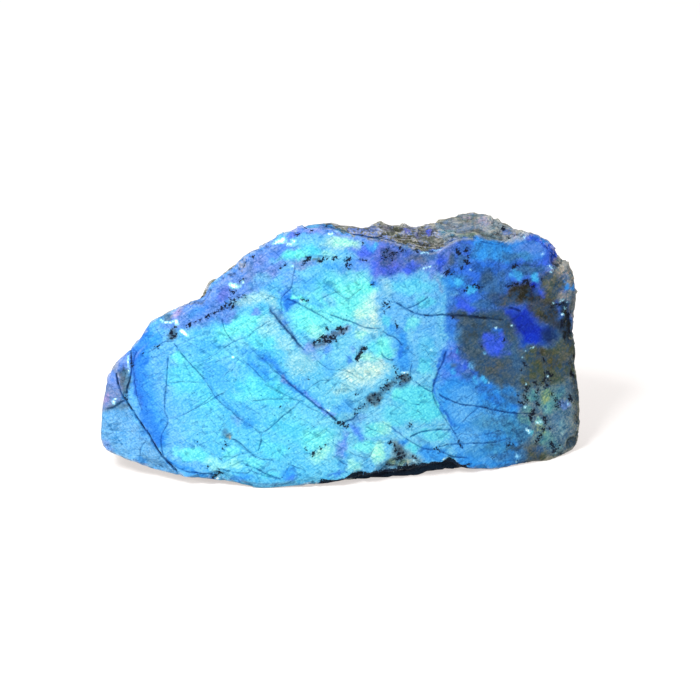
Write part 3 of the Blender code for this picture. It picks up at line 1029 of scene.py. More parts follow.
    Field(((456, 309), (470, 312), (504, 308), (514, 322), (520, 345), (520, 386), (500, 388),
        (476, 374), (460, 350)), SLATE, 0.95, 9),
    Stroke(((452, 316), (470, 317), (490, 318), (503, 320)), 8, GLOOM, 0.8),
    Pool(480, 332, 20, 10, GLOOM, 0.85),
    Pool(466, 336, 7, 9, GLOOM),
    Pool(458, 332, 6, 14, STEEL, 0.5),
    Pool(506, 329, 10, 6, GLOOM, 0.9, 20),
    Pool(512, 352, 8, 16, STEEL),
    Field(((483, 342), (488, 335), (501, 333), (508, 342), (507, 353), (499, 357), (487, 355)),
        ROYAL, 1.0, 9),
    Pool(498, 331, 8, 4, COBALT, 0.75),
    Pool(492, 326, 5, 4, STEEL, 0.7),
    Pool(495, 368, 18, 10, SMOKE, 0.75),
    Pool(484, 358, 10, 6, GLOOM),
    Pool(514, 366, 7, 9, STEEL),
    Pool(483, 380, 4.5, 4.5, SPARK, 0.95),
    Pool(471, 367, 5, 6, AZURE, 0.8),
    Pool(476, 374, 6, 4, COBALT, 0.6, -45),
    Pool(483, 353, 2.5, 2.5, AZURE, 0.7),
    Pool(452, 348, 3, 2.5, PERI, 0.8),
    Pool(459, 352, 2.5, 2.5, SPARK, 0.8),
    Pool(462, 360, 3, 2, PERI, 0.8),
    Pool(455, 374, 3, 2.5, SPARK, 0.7),
    Pool(467, 372, 2.5, 2.5, PERI, 0.8),
    Pool(474, 380, 3, 2.5, SPARK, 0.7),
    # the right end, below
    Field(((520, 350), (526, 344), (552, 346), (562, 330), (576, 330), (584, 400), (584, 440),
        (556, 470), (528, 470), (526, 444), (530, 420), (522, 400)), OLIVE, 0.95, 10.5),
    Pool(512, 400, 12, 10, STEEL, 0.75),
    Pool(508, 388, 8, 8, SKY, 0.7),
    Pool(488, 424, 22, 12, LAGOON, 0.7),
    Pool(510, 428, 14, 16, LAGOON, 0.9),
    Pool(500, 446, 18, 7, LAGOON, 0.7),
    Pool(497, 455, 14, 6, STEEL),
    Pool(548, 360, 18, 13, BROWN, 0.85),
    Pool(557, 362, 9, 10, OCHRE, 0.95),
    Pool(545, 350, 8, 4, OCHRE, 0.5),
    Pool(533, 369, 10, 10, MOSSY, 0.85),
    Pool(526, 350, 6, 5, STEEL),
    Pool(538, 351, 6, 4, NAVY),
    Stroke(((582, 320), (580, 350), (582, 390), (586, 430), (580, 450)), 14, BROWN, 0.8),
    Pool(566, 352, 7, 34, SMOKE),
    Pool(568, 342, 6, 12, MOSSY, 0.7),
    Pool(572, 384, 7, 14, SMOKE, 0.8),
    Pool(573, 415, 9, 22, SAND),
    Pool(574, 424, 6, 14, ASH, 0.5),
    Pool(574, 446, 7, 10, BROWN, 0.9, -30),
    Field(((524, 388), (550, 386), (572, 380), (576, 430), (560, 452), (530, 450), (520, 420)),
        MIST, 0.75, 12),
    Pool(548, 402, 16, 16, TEAL),
    Pool(560, 436, 12, 12, MIST, 0.7),
    Pool(558, 424, 15, 20, MIST, 0.9),
    Pool(561, 428, 8, 12, HAZE, 0.3, -40),
    Pool(558, 420, 8, 12, STEEL, 0.55, -40),
    Pool(545, 436, 16, 9, TEAL, 0.7),
    Pool(548, 443, 16, 6, TEAL, 0.55),
    Pool(561, 393, 8, 8, TEAL, 0.95, 20),
    Pool(562, 390, 5, 6, STEEL),
    Pool(567, 404, 7, 5, PERI, 0.7, -30),
    Pool(532, 396, 7, 7, TEAL, 0.95),
    Pool(545, 395, 8, 8, MOSS, 1.0),
    Pool(545, 393, 5, 4.5, LIME, 0.55, -30),
    Pool(547, 408, 7, 9, TEAL, 1.0),
    Pool(546, 410, 4, 6, HAZE, 0.45),
    Pool(536, 413, 10, 6, SMOKE, 0.8),
    Pool(537, 411, 6, 5, MIST, 0.8),
    Pool(538, 423, 6, 5, AQUA, 0.9),
    Pool(527, 431, 4, 4, CYAN, 0.7),
    Pool(528, 409, 6, 5, TEAL, 0.8),
    Pool(522, 431, 8, 16, LAGOON, 0.8),
    Pool(524, 420, 7, 6, TEAL, 0.8),
    Pool(539, 431, 10, 7, MOSS, 0.75),
    Pool(513, 446, 9, 5, GLOOM, 0.8),
    Pool(521, 446, 5, 4, UMBER),
    Pool(535, 450, 12, 8, SMOKE, 0.8),
    Pool(512, 456, 10, 8, STEEL),
    Pool(517, 456, 4.5, 4.5, AZURE, 0.95),
    Pool(540, 449, 7, 4, STEEL, 0.7),
    Pool(540, 460, 20, 4, BROWN, 0.7, 6),
    Pool(564, 300, 6, 8, SAND, 0.75),
    Field(((553, 262), (563, 250), (590, 255), (600, 300), (600, 330), (571, 316), (566, 300),
        (561, 280)), ASH, 0.95, 6),
    Pool(570, 275, 8, 12, SAND, 0.5),
    Pool(566, 272, 6, 7, CHALK, 0.5, -50),
    Pool(572, 304, 4, 7, BROWN, 0.5),
    Pool(565, 277, 5, 5, DUSK, 0.5),
    Pool(564.5, 287, 4.5, 6, SKY, 0.95),
    Pool(572.5, 287, 5, 6, SKY, 0.95),
    Field(((559, 304), (568, 303), (569, 312), (572, 322), (572, 338), (566, 346), (561, 330),
        (562, 316)), CHAR, 1.0, 4.5),
    Pool(560, 326, 5, 12, UMBER),
    # the broken top
    Field(((400, 214), (400, 245), (424, 252), (434, 246), (446, 240), (472, 238), (500, 240),
        (522, 233), (530, 200), (400, 195)), MIST, 0.9, 8),
    Pool(478, 233, 24, 7, MOSSY),
    Pool(440, 228, 26, 7, DUSK, 0.55, 8),
    Pool(470, 219, 22, 6, ASH),
    Field(((482, 214), (500, 214), (530, 232), (522, 238), (500, 240), (484, 238)), FROST, 0.85, 8),
    Pool(474, 223, 30, 9, FROST, 0.35),
    Field(((316, 214), (322, 223), (345, 231), (365, 236), (385, 240), (410, 245), (424, 252),
        (434, 246), (440, 243), (430, 195), (380, 195)), RIND, 0.80, 3),
    Field(((424, 195), (430, 250), (446, 240), (472, 238), (500, 240), (522, 233), (530, 200),
        (500, 190)), RIND, 0.34, 3),
    Pool(387, 227, 9, 5, ROSE, 0.35, -20),
    Pool(405, 230, 7, 3.5, VIOLET, 0.75, 10),
    Pool(417, 235, 4, 3, LILAC, 0.7),
    Pool(427, 231, 5, 5, VIOLET, 0.75),
    Pool(426, 229, 2.5, 2.5, ROYAL, 0.7),
    Pool(449, 231, 9, 4, TEAL),
    Pool(449, 232, 6, 2.5, STEEL, 0.7),
    Pool(440, 227, 12, 5, MIST, 0.45),
    Pool(467, 216, 8, 3, ROSE, 0.35),
    Pool(486, 222, 12, 4, ROSE, 0.30),
    Pool(470, 226, 14, 4, DUSK, 0.35),
    Pool(506, 230, 6, 3, COBALT, 0.55),
    Pool(512, 234, 5, 2.5, LILAC, 0.5),
    Pool(465, 236, 16, 3, MOSS, 0.35),
    Pool(490, 235, 14, 4, TEAL, 0.25),
    Stroke(((442, 243), (455, 241), (470, 240)), 4, STEEL, 0.6),
    Pool(388, 262, 9, 6, SMOKE, 0.55),
    Pool(421, 262, 10, 8, SMOKE, 0.5),
    Pool(402, 263, 7, 6, SMOKE, 0.3),
    Pool(300, 264, 16, 7, DUSK, 0.7),
    Pool(355, 265, 12, 8, ROYAL, 0.4),
    Pool(535, 292, 7, 6, NAVY),
    Pool(530, 309, 9, 5, UMBER),
    Pool(541, 350, 8, 8, UMBER, 0.5),
)
# Where the crystal turns dull and dark between its flashes.
VEILS: tuple[Mark, ...] = (
    Field(((446, 238), (575, 236), (590, 470), (500, 480), (478, 400), (450, 330)), MURK, 0.7, 16),
    Field(((378, 240), (452, 240), (452, 272), (380, 276)), MURK, 0.6, 8),
    Field(((455, 300), (525, 300), (525, 385), (470, 380)), MURK, 0.9, 12),
    Pool(490, 285, 26, 18, MURK, 0.9),
    Pool(525, 262, 26, 12, MURK, 0.7),
    Pool(545, 275, 16, 14, MURK, 0.9),
    Pool(510, 440, 22, 20, MURK, 0.7),
    Pool(550, 430, 26, 30, MURK, 0.7),
    Field(((165, 322), (200, 292), (240, 258), (275, 238), (285, 262), (240, 312), (186, 332)),
        MURK, 0.4, 8),
    Pool(555, 345, 11, 20, BROWN, 0.55),
    Pool(545, 299, 16, 8, BROWN, 0.5),
    Pool(519, 286, 10, 6, UMBER, 0.7),
    Field(((504, 310), (530, 308), (556, 326), (554, 342), (520, 350)), DEEP, 0.75, 14),
    Pool(495, 346, 12, 11, ROYAL),
    Pool(461, 284, 8, 5, SPARK, 0.9, -30),
    Pool(472, 289, 7, 6, SPARK, 0.9),
    Pool(516, 275, 9, 7, SPARK, 0.9),
    Pool(534, 280, 7, 10, SPARK, 0.9, 20),
    Pool(483, 380, 5, 5, SPARK, 0.9),
    Pool(466, 307, 13, 6, ROYAL, 0.7, -25),
    Field(((500, 236), (545, 232), (556, 250), (540, 258), (500, 254)), SKY, 0.85, 12),
    Pool(488, 250, 16, 12, AZURE, 0.4),
    Pool(225, 470, 14, 8, MURK, 0.2),
)
# Cracks and healed seams, then hairlines: for each width and darkness, their paths.
SEAMS: tuple[Seam, ...] = (
    # the left end
    Seam(((116, 374), (118, 385), (122, 396), (128, 404), (138, 420), (148, 434), (156, 448),
        (165, 460), (176, 471)), 1.8, 0.9, 0.3),
    Seam(((164, 458), (176, 467), (190, 472), (212, 474)), 1.6, 0.65),
    Seam(((130, 350), (131, 362), (131, 374), (126, 393)), 1.9, 0.85, 0.2),
    Seam(((134, 379), (137, 396), (142, 410)), 1.3, 0.4),
    Seam(((107, 409), (114, 407), (120, 403), (127, 400)), 2.0, 0.6, 0.2),
    Seam(((147, 439), (141, 448), (140, 460)), 1.4, 0.38),
    Seam(((174, 344), (180, 352), (187, 360), (196, 370), (204, 379), (210, 388)), 1.3, 0.55),
    Seam(((210, 388), (218, 400), (230, 410), (243, 422)), 1.4, 0.48),
    Seam(((243, 422), (252, 427), (262, 433)), 1.5, 0.5),
    Seam(((168, 358), (167, 376), (165, 398), (165, 412), (168, 422), (162, 434), (161, 446),
        (164, 458)), 1.6, 0.5),
    Seam(((190, 407), (200, 400), (206, 398)), 1.0, 0.32),
    Seam(((196, 408), (203, 403), (213, 395)), 1.0, 0.34),
    Seam(((160, 345), (165, 342), (174, 341)), 1.3, 0.4),
    Seam(((198, 363), (208, 359), (222, 350)), 1.0, 0.32),
    Seam(((246, 286), (255, 292), (266, 295), (279, 299)), 1.1, 0.35),
    Seam(((232, 439), (239, 442), (246, 449), (256, 457)), 1.5, 0.6),
    # the middle
    Seam(((270, 310), (280, 322), (290, 334), (300, 346)), 1.5, 0.85, 0.2),
    Seam(((285, 322), (289, 328), (296, 340), (304, 350)), 1.4, 0.45),
    Seam(((262, 357), (270, 366), (280, 375), (290, 384)), 1.3, 0.45, 0.12),
    Seam(((288, 382), (300, 392.5), (312, 402), (322, 410)), 1.6, 0.70, 0.15),
    Seam(((321, 408), (328, 413), (336, 420)), 2.0, 0.85, 0.25),
    Seam(((243, 360), (252, 368), (262, 378), (270, 386), (280, 392), (290, 397)), 1.3, 0.42),
    Seam(((288, 299.5), (300, 304), (312, 311), (325, 318), (331, 322)), 1.6, 0.55),
    Seam(((331, 315), (345, 320), (352, 322), (360, 325.5), (368, 328), (380, 328.5)), 1.4, 0.6),
    Seam(((318, 301), (327, 296), (338, 292), (343, 297)), 1.1, 0.35),
    Seam(((295, 268), (293, 278), (291, 288), (286, 293), (281, 300), (282, 312)), 1.4, 0.42),
    Seam(((253, 401), (265, 400), (282, 399), (300, 400.5), (304, 402)), 1.2, 0.48),
    Seam(((300, 402), (290, 411), (280, 419), (270, 428), (262, 434), (261, 442), (258, 451)),
        1.3, 0.50),
    Seam(((242, 420), (252, 427), (260, 433)), 1.6, 0.5),
    Seam(((318, 361), (325, 367), (332, 370), (345, 371), (356, 377)), 1.1, 0.38),
    Seam(((306, 443), (318, 436), (328, 428)), 0.9, 0.28),
    Seam(((246, 465), (257, 469), (268, 475), (280, 479)), 1.6, 0.6),
    Seam(((248, 470), (262, 475), (276, 479)), 1.1, 0.45),
    Seam(((288, 464), (296, 467), (306, 471)), 1.1, 0.45),
    Seam(((334, 456), (340, 461), (347, 465)), 1.2, 0.5),
    Seam(((343, 423), (352, 419), (358, 414)), 1.5, 0.75),
    Seam(((310, 455), (322, 460), (330, 463)), 0.9, 0.2),
    # the right
    Seam(((397, 303), (405, 308), (415, 313), (425, 315.5), (440, 315), (449, 315)), 1.6, 0.85, 0.12),
    Seam(((447, 315.5), (460, 315.5), (478, 316.5)), 1.9, 0.95, 0.15),
    Seam(((470, 317.5), (484, 318), (494, 319)), 1.7, 0.85, 0.15),
    Seam(((490, 318.5), (503, 320)), 1.4, 0.6, 0.1),
    Seam(((383, 331), (388, 335), (396, 338), (402, 345)), 1.5, 0.5),
    Seam(((382, 354), (387, 359), (393, 360)), 1.3, 0.6),
    Seam(((446, 352), (443, 362), (438, 372), (434, 385), (433, 395), (437, 405)), 1.9, 0.6, 0.12),
    Seam(((437, 405), (443, 415), (449, 425), (455, 433)), 1.5, 0.45, 0.1),
    Seam(((455, 433), (459, 441), (463, 448)), 1.7, 0.5),
    Seam(((440, 395), (450, 400), (460, 404), (480, 407), (490, 409), (500, 411), (510, 413),
        (524, 413.5), (535, 413.5)), 1.5, 0.72, 0.12),
    Seam(((385, 392), (395, 397), (405, 401), (412, 404), (420, 405)), 1.2, 0.5),
    Seam(((411, 437), (418, 433), (430, 430.5), (440, 429.5), (450, 429.5)), 1.5, 0.65),
    Seam(((383, 422), (395, 430), (405, 438), (415, 444), (425, 449), (437, 450), (446, 454),
        (455, 457), (466, 458)), 1.4, 0.6),
    Seam(((416, 382), (424, 388), (432, 392)), 1.4, 0.55),
    Seam(((452, 433), (460, 427)), 1.0, 0.35),
    Seam(((473, 443.5), (485, 443), (496, 442)), 1.3, 0.6),
    Seam(((480, 444), (495, 442), (503, 440), (514, 438)), 1.1, 0.3),
    Seam(((500, 256), (499, 270), (501, 285), (499, 296)), 1.6, 0.20),
    Seam(((516, 265), (530, 266), (545, 266), (556, 268)), 1.2, 0.36),
    Seam(((509, 308), (515, 309), (520, 311)), 1.9, 0.75),
    Seam(((372, 237), (385, 239), (400, 243), (412, 246)), 1.6, 0.5),
    Seam(((480, 241), (492, 244), (500, 243), (510, 237)), 1.6, 0.4),
    Seam(((320, 223), (345, 231), (380, 239)), 1.8, 0.6),
    Seam(((545, 246), (560, 262)), 1.2, 0.35),
) + hairlines(
    {
        (0.9, 0.22): (((212, 412), (206, 420), (203, 428)), ((225, 424), (219, 431), (216, 438)),
            ((308, 432), (314, 426))),
        (0.9, 0.25): (((300, 440), (310, 433), (318, 424)), ((318, 437), (326, 432)),
            ((424, 424), (434, 426), (446, 425)), ((411, 362), (424, 361), (436, 362)),
            ((422, 330), (432, 326)), ((470, 420), (482, 414))),
        (1.0, 0.25): (((152, 405), (158, 402)), ((231, 372), (237, 364)), ((296, 277), (300, 288)),
            ((282, 398), (290, 391), (296, 386)), ((300, 372), (306, 366))),
        (1.0, 0.3): (((140, 372), (148, 376), (158, 373), (167, 376)), ((202, 341), (214, 336)),
            ((224, 376), (231, 368), (239, 359)), ((356, 283), (363, 288), (370, 293)),
            ((300, 250), (306, 255)), ((324, 397), (332, 390), (338, 383), (344, 386), (352, 392)),
            ((325, 384), (333, 379), (345, 385), (358, 390)), ((362, 357), (372, 358), (384, 362)),
            ((228, 460), (240, 455), (252, 452)), ((266, 447), (273, 453), (272, 457)),
            ((282, 478), (287, 470), (292, 462)), ((362, 441), (374, 444), (386, 443)),
            ((356, 402), (350, 401)), ((396, 396), (403, 400), (409, 403)),
            ((403, 400), (413, 409), (421, 413)), ((456, 437), (462, 434), (470, 436)),
            ((425, 350), (432, 360)), ((470, 436), (482, 435)),
            ((385, 471), (392, 470), (398, 465), (404, 463))),
        (1.1, 0.4): (((168, 419), (185, 414), (204, 404), (216, 397), (226, 391)),
            ((335, 291), (344, 298), (350, 298), (356, 293), (362, 289)),
            ((298, 401), (306, 406), (314, 410), (321, 413)),
            ((307, 391), (313, 385), (320, 381), (330, 380)), ((366, 427), (376, 431), (386, 434)),
            ((420, 386), (428, 387), (433, 388)), ((485, 434), (492, 433), (501, 430))),
        (1.1, 0.42): (((170, 383), (182, 382), (203, 383)),
            ((265, 385), (276, 391), (287, 396), (294, 399)),
            ((236, 442), (248, 452), (258, 458), (272, 460)), ((350, 452), (358, 456), (366, 458)),
            ((362, 463), (369, 457), (374, 449))),
        (1.2, 0.4): (((148, 353), (158, 347), (163, 345)), ((301, 258), (316, 256), (330, 257)),
            ((392, 302), (398, 303), (401, 305)), ((448, 342), (452, 352), (447, 358))),
        (1.2, 0.45): (((224, 348), (236, 341), (247, 337), (258, 328), (270, 321)),
            ((440, 447), (450, 444), (460, 444), (478, 443)), ((463, 422), (469, 415), (478, 408)),
            ((412, 365), (410, 372), (412, 378))),
        (1.3, 0.5): (((136, 352), (133, 362), (134, 376)),
            ((222, 320), (225, 331), (231, 339), (236, 342)),
            ((224, 470), (236, 473), (248, 473), (252, 469)),
            ((400, 309), (408, 308), (416, 305), (424, 300), (428, 297))),
    }
)
# Dark inclusions: for each radius, the paths of its grains; after them, painted shade in the hollow under
# the arch.
INCLUSIONS_AND_SHADE: tuple[Spot, ...] = grains(
    {
        0.6: ((306, 449), (289, 448), ((395, 321), (397, 327)), (503, 246)),
        0.7: ((143, 353), ((371, 285), (374, 283)), ((377, 475), (388, 471)), (309, 379), (281, 407),
            (388, 380)),
        0.8: (((237, 297), (239, 298)), ((240, 281), (243, 280)), ((155, 347.5), (158, 346.5)),
            (176, 327), (223, 449), ((360, 260), (364, 260)), ((296, 234), (300, 234)), (305, 228),
            (321, 448.5), (387, 254), (428, 247), (384, 311), ((494, 226), (498, 226)), (392, 381.5),
            (461, 348), (560, 453), (517, 461), (493, 458), (522, 441)),
        0.9: ((230, 297), ((171, 331), (172, 334)), (208, 467), (196, 443), (194, 393),
            ((131, 362), (131, 367)), (314, 345), (392, 260), (405, 250.5), (508, 236), (542, 279),
            (395, 382.5), (405, 456), (434, 449), ((459, 441), (461, 446)), (481, 345), (522, 370),
            ((545, 362), (543, 358)), ((519, 402), (523, 404)), (559, 445), (570, 363)),
        1.0: (((214, 313.5), (217, 312)), (244, 296), ((225, 442), (227, 444)), (218, 469),
            (327, 258.5), (350, 265), (285, 265.5), (363, 243.5), ((325, 226), (329, 224)), (311, 231),
            (342, 333), ((327, 328), (328.5, 329)), ((355, 415), (358, 414)),
            ((356.5, 409.5), (361, 408)), (379.5, 394.5), (318, 451), (462, 268.5), (482, 287),
            ((451, 317), (454, 317)), (410, 377.5), (389, 389.5), (384, 469), ((444, 460), (448, 459)),
            ((466, 465), (470, 464)), ((507, 446), (512, 444))),
        1.1: (((196, 322), (201, 319.5)), (222, 459), ((346, 266), (347, 264)), (336, 337),
            ((363, 406.5), (365, 404.5)), (356.5, 394), (373, 403.5), (326, 444.5),
            ((383, 257), (386, 258)), ((389, 256), (391, 258)), ((416, 249), (418, 252)), (432, 232),
            ((467, 287), (466, 290)), (400, 383.5), ((394, 366), (396, 370)), ((387, 466), (389, 464)),
            ((538, 389), (537, 393)), ((536, 397), (537, 402), (538, 405)), ((543, 430), (545, 428)),
            ((536, 441), (541, 436))),
        1.2: (((232, 300), (235, 301)), ((231, 291), (234, 292)), (177, 334), ((125, 396), (127, 399)),
            (348, 269), (366, 260), (307, 300.7), (280, 268), (336, 341), ((332, 333.5), (334, 335)),
            ((344, 426), (348, 427)), ((384, 252), (388, 250)), ((392, 254), (396, 253)),
            ((384, 303), (384, 306)), ((387, 305), (389, 303)), ((388, 308), (390, 307)),
            ((508, 286), (518, 284)), ((564, 334), (564, 338)), (405.5, 380), ((389, 442), (391, 443)),
            (402, 453), ((413, 456), (415, 458)), (504, 340), ((572, 372), (574, 376)), (574, 356)),
        1.3: (((205, 318), (209, 315)), (253, 257), ((213, 477), (219, 473)), ((320, 262), (323, 259)),
            ((314, 342), (320, 340)), ((341, 329.5), (346, 328.5)), (363, 390),
            ((400, 248), (403, 250)), (468, 257), (452, 273), (518, 265.5), ((527, 283), (534, 286)),
            ((552, 307), (556, 304)), (560, 305), ((562, 321), (562, 328)), (396, 372),
            ((524, 362), (526, 366)), ((548, 372), (552, 376)), ((549, 380), (545, 378)), (518, 395),
            ((551, 393), (556, 401)), (556, 407), (541, 435), ((569, 395), (571, 402))),
        1.4: (((219, 310), (223, 307.5)), ((225, 308), (226, 304)), ((232, 307), (234, 303)),
            ((171.5, 338), (175, 336)), ((333, 259), (336, 257)), ((337, 329), (340, 328)),
            (378, 399.5), (565, 304), ((569, 326), (570, 332)), ((395, 446), (396, 451)),
            ((437, 449), (439, 450)), (544, 375), (546, 386), (544, 381)),
        1.5: (((188, 326), (190, 324)), ((229, 305), (231, 302)), ((338, 423), (343, 424)),
            (370, 400.5), ((457, 250), (459, 253)), (504, 227), ((513, 267), (515, 266)),
            ((521, 284), (526, 281)), ((568, 315), (569, 320)), (382, 388), (410.5, 425.5),
            ((399, 450), (398, 455)), ((535, 382), (537, 385)), (550, 429), ((551, 443), (554, 448))),
        1.6: (((303, 263), (305, 262)), ((313, 454), (315, 452)), ((474, 285), (479, 287)),
            (397.5, 378), (407, 373.5), (386.5, 385.5), ((396, 459), (401, 457)), (541, 384),
            ((527, 386), (526, 391)), ((525, 396), (527, 400)), ((558, 404), (560, 403)),
            ((533, 411), (533, 414)), ((544, 418), (546, 422))),
        1.7: ((302.5, 299.5), ((466, 251), (468, 249)), ((530, 417), (532, 420)),
            ((556, 449), (555, 452))),
        1.8: (((346, 261), (350, 259)), ((321, 337.5), (326, 337)), ((361, 352), (363, 350)),
            (374, 395), ((466, 261), (468, 264)), ((449, 269), (447, 274))),
        1.9: (((330, 338), (334, 339)), ((356.5, 359), (360.5, 352.5), (365, 348)),
            ((401.5, 377), (403, 375.5))),
        2.1: (((307, 260), (309, 258)),),
        2.3: (((325, 341), (330, 341.5)),),
    }
) + (
    # painted shade: dark patches in the hollow under the arch, standing in for its shadow
    Spot(((326, 484), (345, 481), (365, 478.5), (386, 476), (404, 473.5)), 6.5, True),
    Spot(((400, 473), (420, 469.5), (436, 466.5), (448, 465), (462, 467)), 6.5, True),
)
# Pale shards and bruises, listed in the same way; painted highlights, white glints, are among them.
SHARDS_AND_HIGHLIGHTS: tuple[Spot, ...] = grains(
    {
        0.0: ((567, 302), (522, 357), (526, 351), (489, 383), ((443, 459), (450, 458))),
        0.1: ((553, 303), ((531, 348), (533, 347))),
        0.2: (((421, 253), (428, 252)), ((549, 266), (553, 268)), (551, 272),
            ((560, 301), (563, 300.5)), (516, 462)),
        0.3: (((128, 356), (128.5, 372)), ((435, 250), (440, 248)), (470, 270), (524, 237), (526, 384),
            (556, 453)),
        0.4: (((402, 373), (408, 372)), (565, 308), (511.5, 325.5), (517, 456), (568, 404),
            (548, 376.5), ((414, 460), (416, 462))),
        0.5: (((161, 320), (165, 322.5), (169, 323), (174, 321.5)), ((424, 268), (430, 266)),
            (562.5, 314.5), (496, 328)),
        0.6: (((300, 301), (302, 302)), (431, 350), (542.5, 254)),
        0.7: (((329, 234), (332, 234)), ((326, 409), (329, 411)), ((537, 423), (541, 422))),
        0.8: ((301, 225), (525, 407)),
        0.9: ((233, 357), ((287, 244), (291, 244)), (293, 266), ((527, 430), (529, 432))),
        1.0: ((243, 282), (115, 399)),
        1.1: (((217, 478), (219, 476)), ((292, 240), (294, 241))),
        1.4: (((230, 285), (236, 286)), (114, 402)),
        1.5: (((274, 243), (281, 241), (283, 239)),),
        1.6: (((176, 321), (177, 323)),),
        1.7: (((182, 331), (186, 335)),),
    }
)


# --- The stone ---


@dataclass(frozen=True)
class Viewpoint:
    """Where the stone is seen from, which also rules the sheet of the marks.

    Attributes:
        aim: the point in the middle of the view, in metres.
        elevation: degrees above the floor.
        distance: from the aim to the eye, in metres.
        lens: focal length in millimetres.
        sensor: width of the sensor in millimetres.
        sheet: width of the sheet in its own unit.
    """

    aim: tuple[float, float, float] = (0.00225, -0.0019, 0.0278)
    elevation: float = 20.0
    distance: float = 1.0
    lens: float = 205.7
    sensor: float = 36.0
    sheet: float = 700.0

    def axes(self) -> tuple[np.ndarray, np.ndarray, np.ndarray]:
        """The directions to the right, up, and back towards the eye."""
        tilt = math.radians(self.elevation)
        right = np.array((1.0, 0.0, 0.0))
        back = np.array((0.0, -math.cos(tilt), math.sin(tilt)))
        return right, np.array((0.0, math.sin(tilt), math.cos(tilt))), back

    def eye(self) -> np.ndarray:
        """The eye's place."""
        return np.array(self.aim) + self.distance * self.axes()[2]

    def project(self, places: np.ndarray) -> np.ndarray:
        """Where places lie on the sheet.

        Args:
            places: points in metres.

        Returns:
            Two sheet coordinates for each, to the right and down.
        """
        right, up, back = self.axes()
        away = places - self.eye()
        scale = self.sheet * self.lens / self.sensor / -(away @ back)
        half = 0.5 * self.sheet
        return np.stack((half + scale * (away @ right), half - scale * (away @ up)), axis=1)


@dataclass(frozen=True)
class GroundFront:
    """The ground face as a rule: a dome that leans back, in the frame of the solid.

    Attributes:
        low_corner: the solid's lowest corner in metres.
        crown: where the dome stands foremost, from the left end, in millimetres.
        radius_left: radius of its left side.
        radius_right: radius of its right side.
        lean: degrees that it leans back.
        set_back: how far its foot stands behind the solid's front.
        foot_roll: how far its foot rolls under.
        foot_height: the height over which it rolls.
    """

    low_corner: tuple[float, float, float]
    crown: float = 45.0
    radius_left: float = 180.0
    radius_right: float = 116.0
    lean: float = 8.0
    set_back: float = -0.42
    foot_roll: float = 0.6
    foot_height: float = 4.0

    def depth(self, places: np.ndarray) -> np.ndarray:
        """The dome's Y in metres at the X and Z of each place."""
        x = (places[:, 0] - self.low_corner[0]) / MM
        z = places[:, 2] / MM
        radius = np.where(x < self.crown, self.radius_left, self.radius_right)
        deep = (x - self.crown) ** 2 / (2.0 * radius) + z * math.tan(math.radians(self.lean))
        deep += self.foot_roll * np.clip(1.0 - z / self.foot_height, 0.0, 1.0) ** 2
        return self.low_corner[1] + (deep + self.set_back) * MM


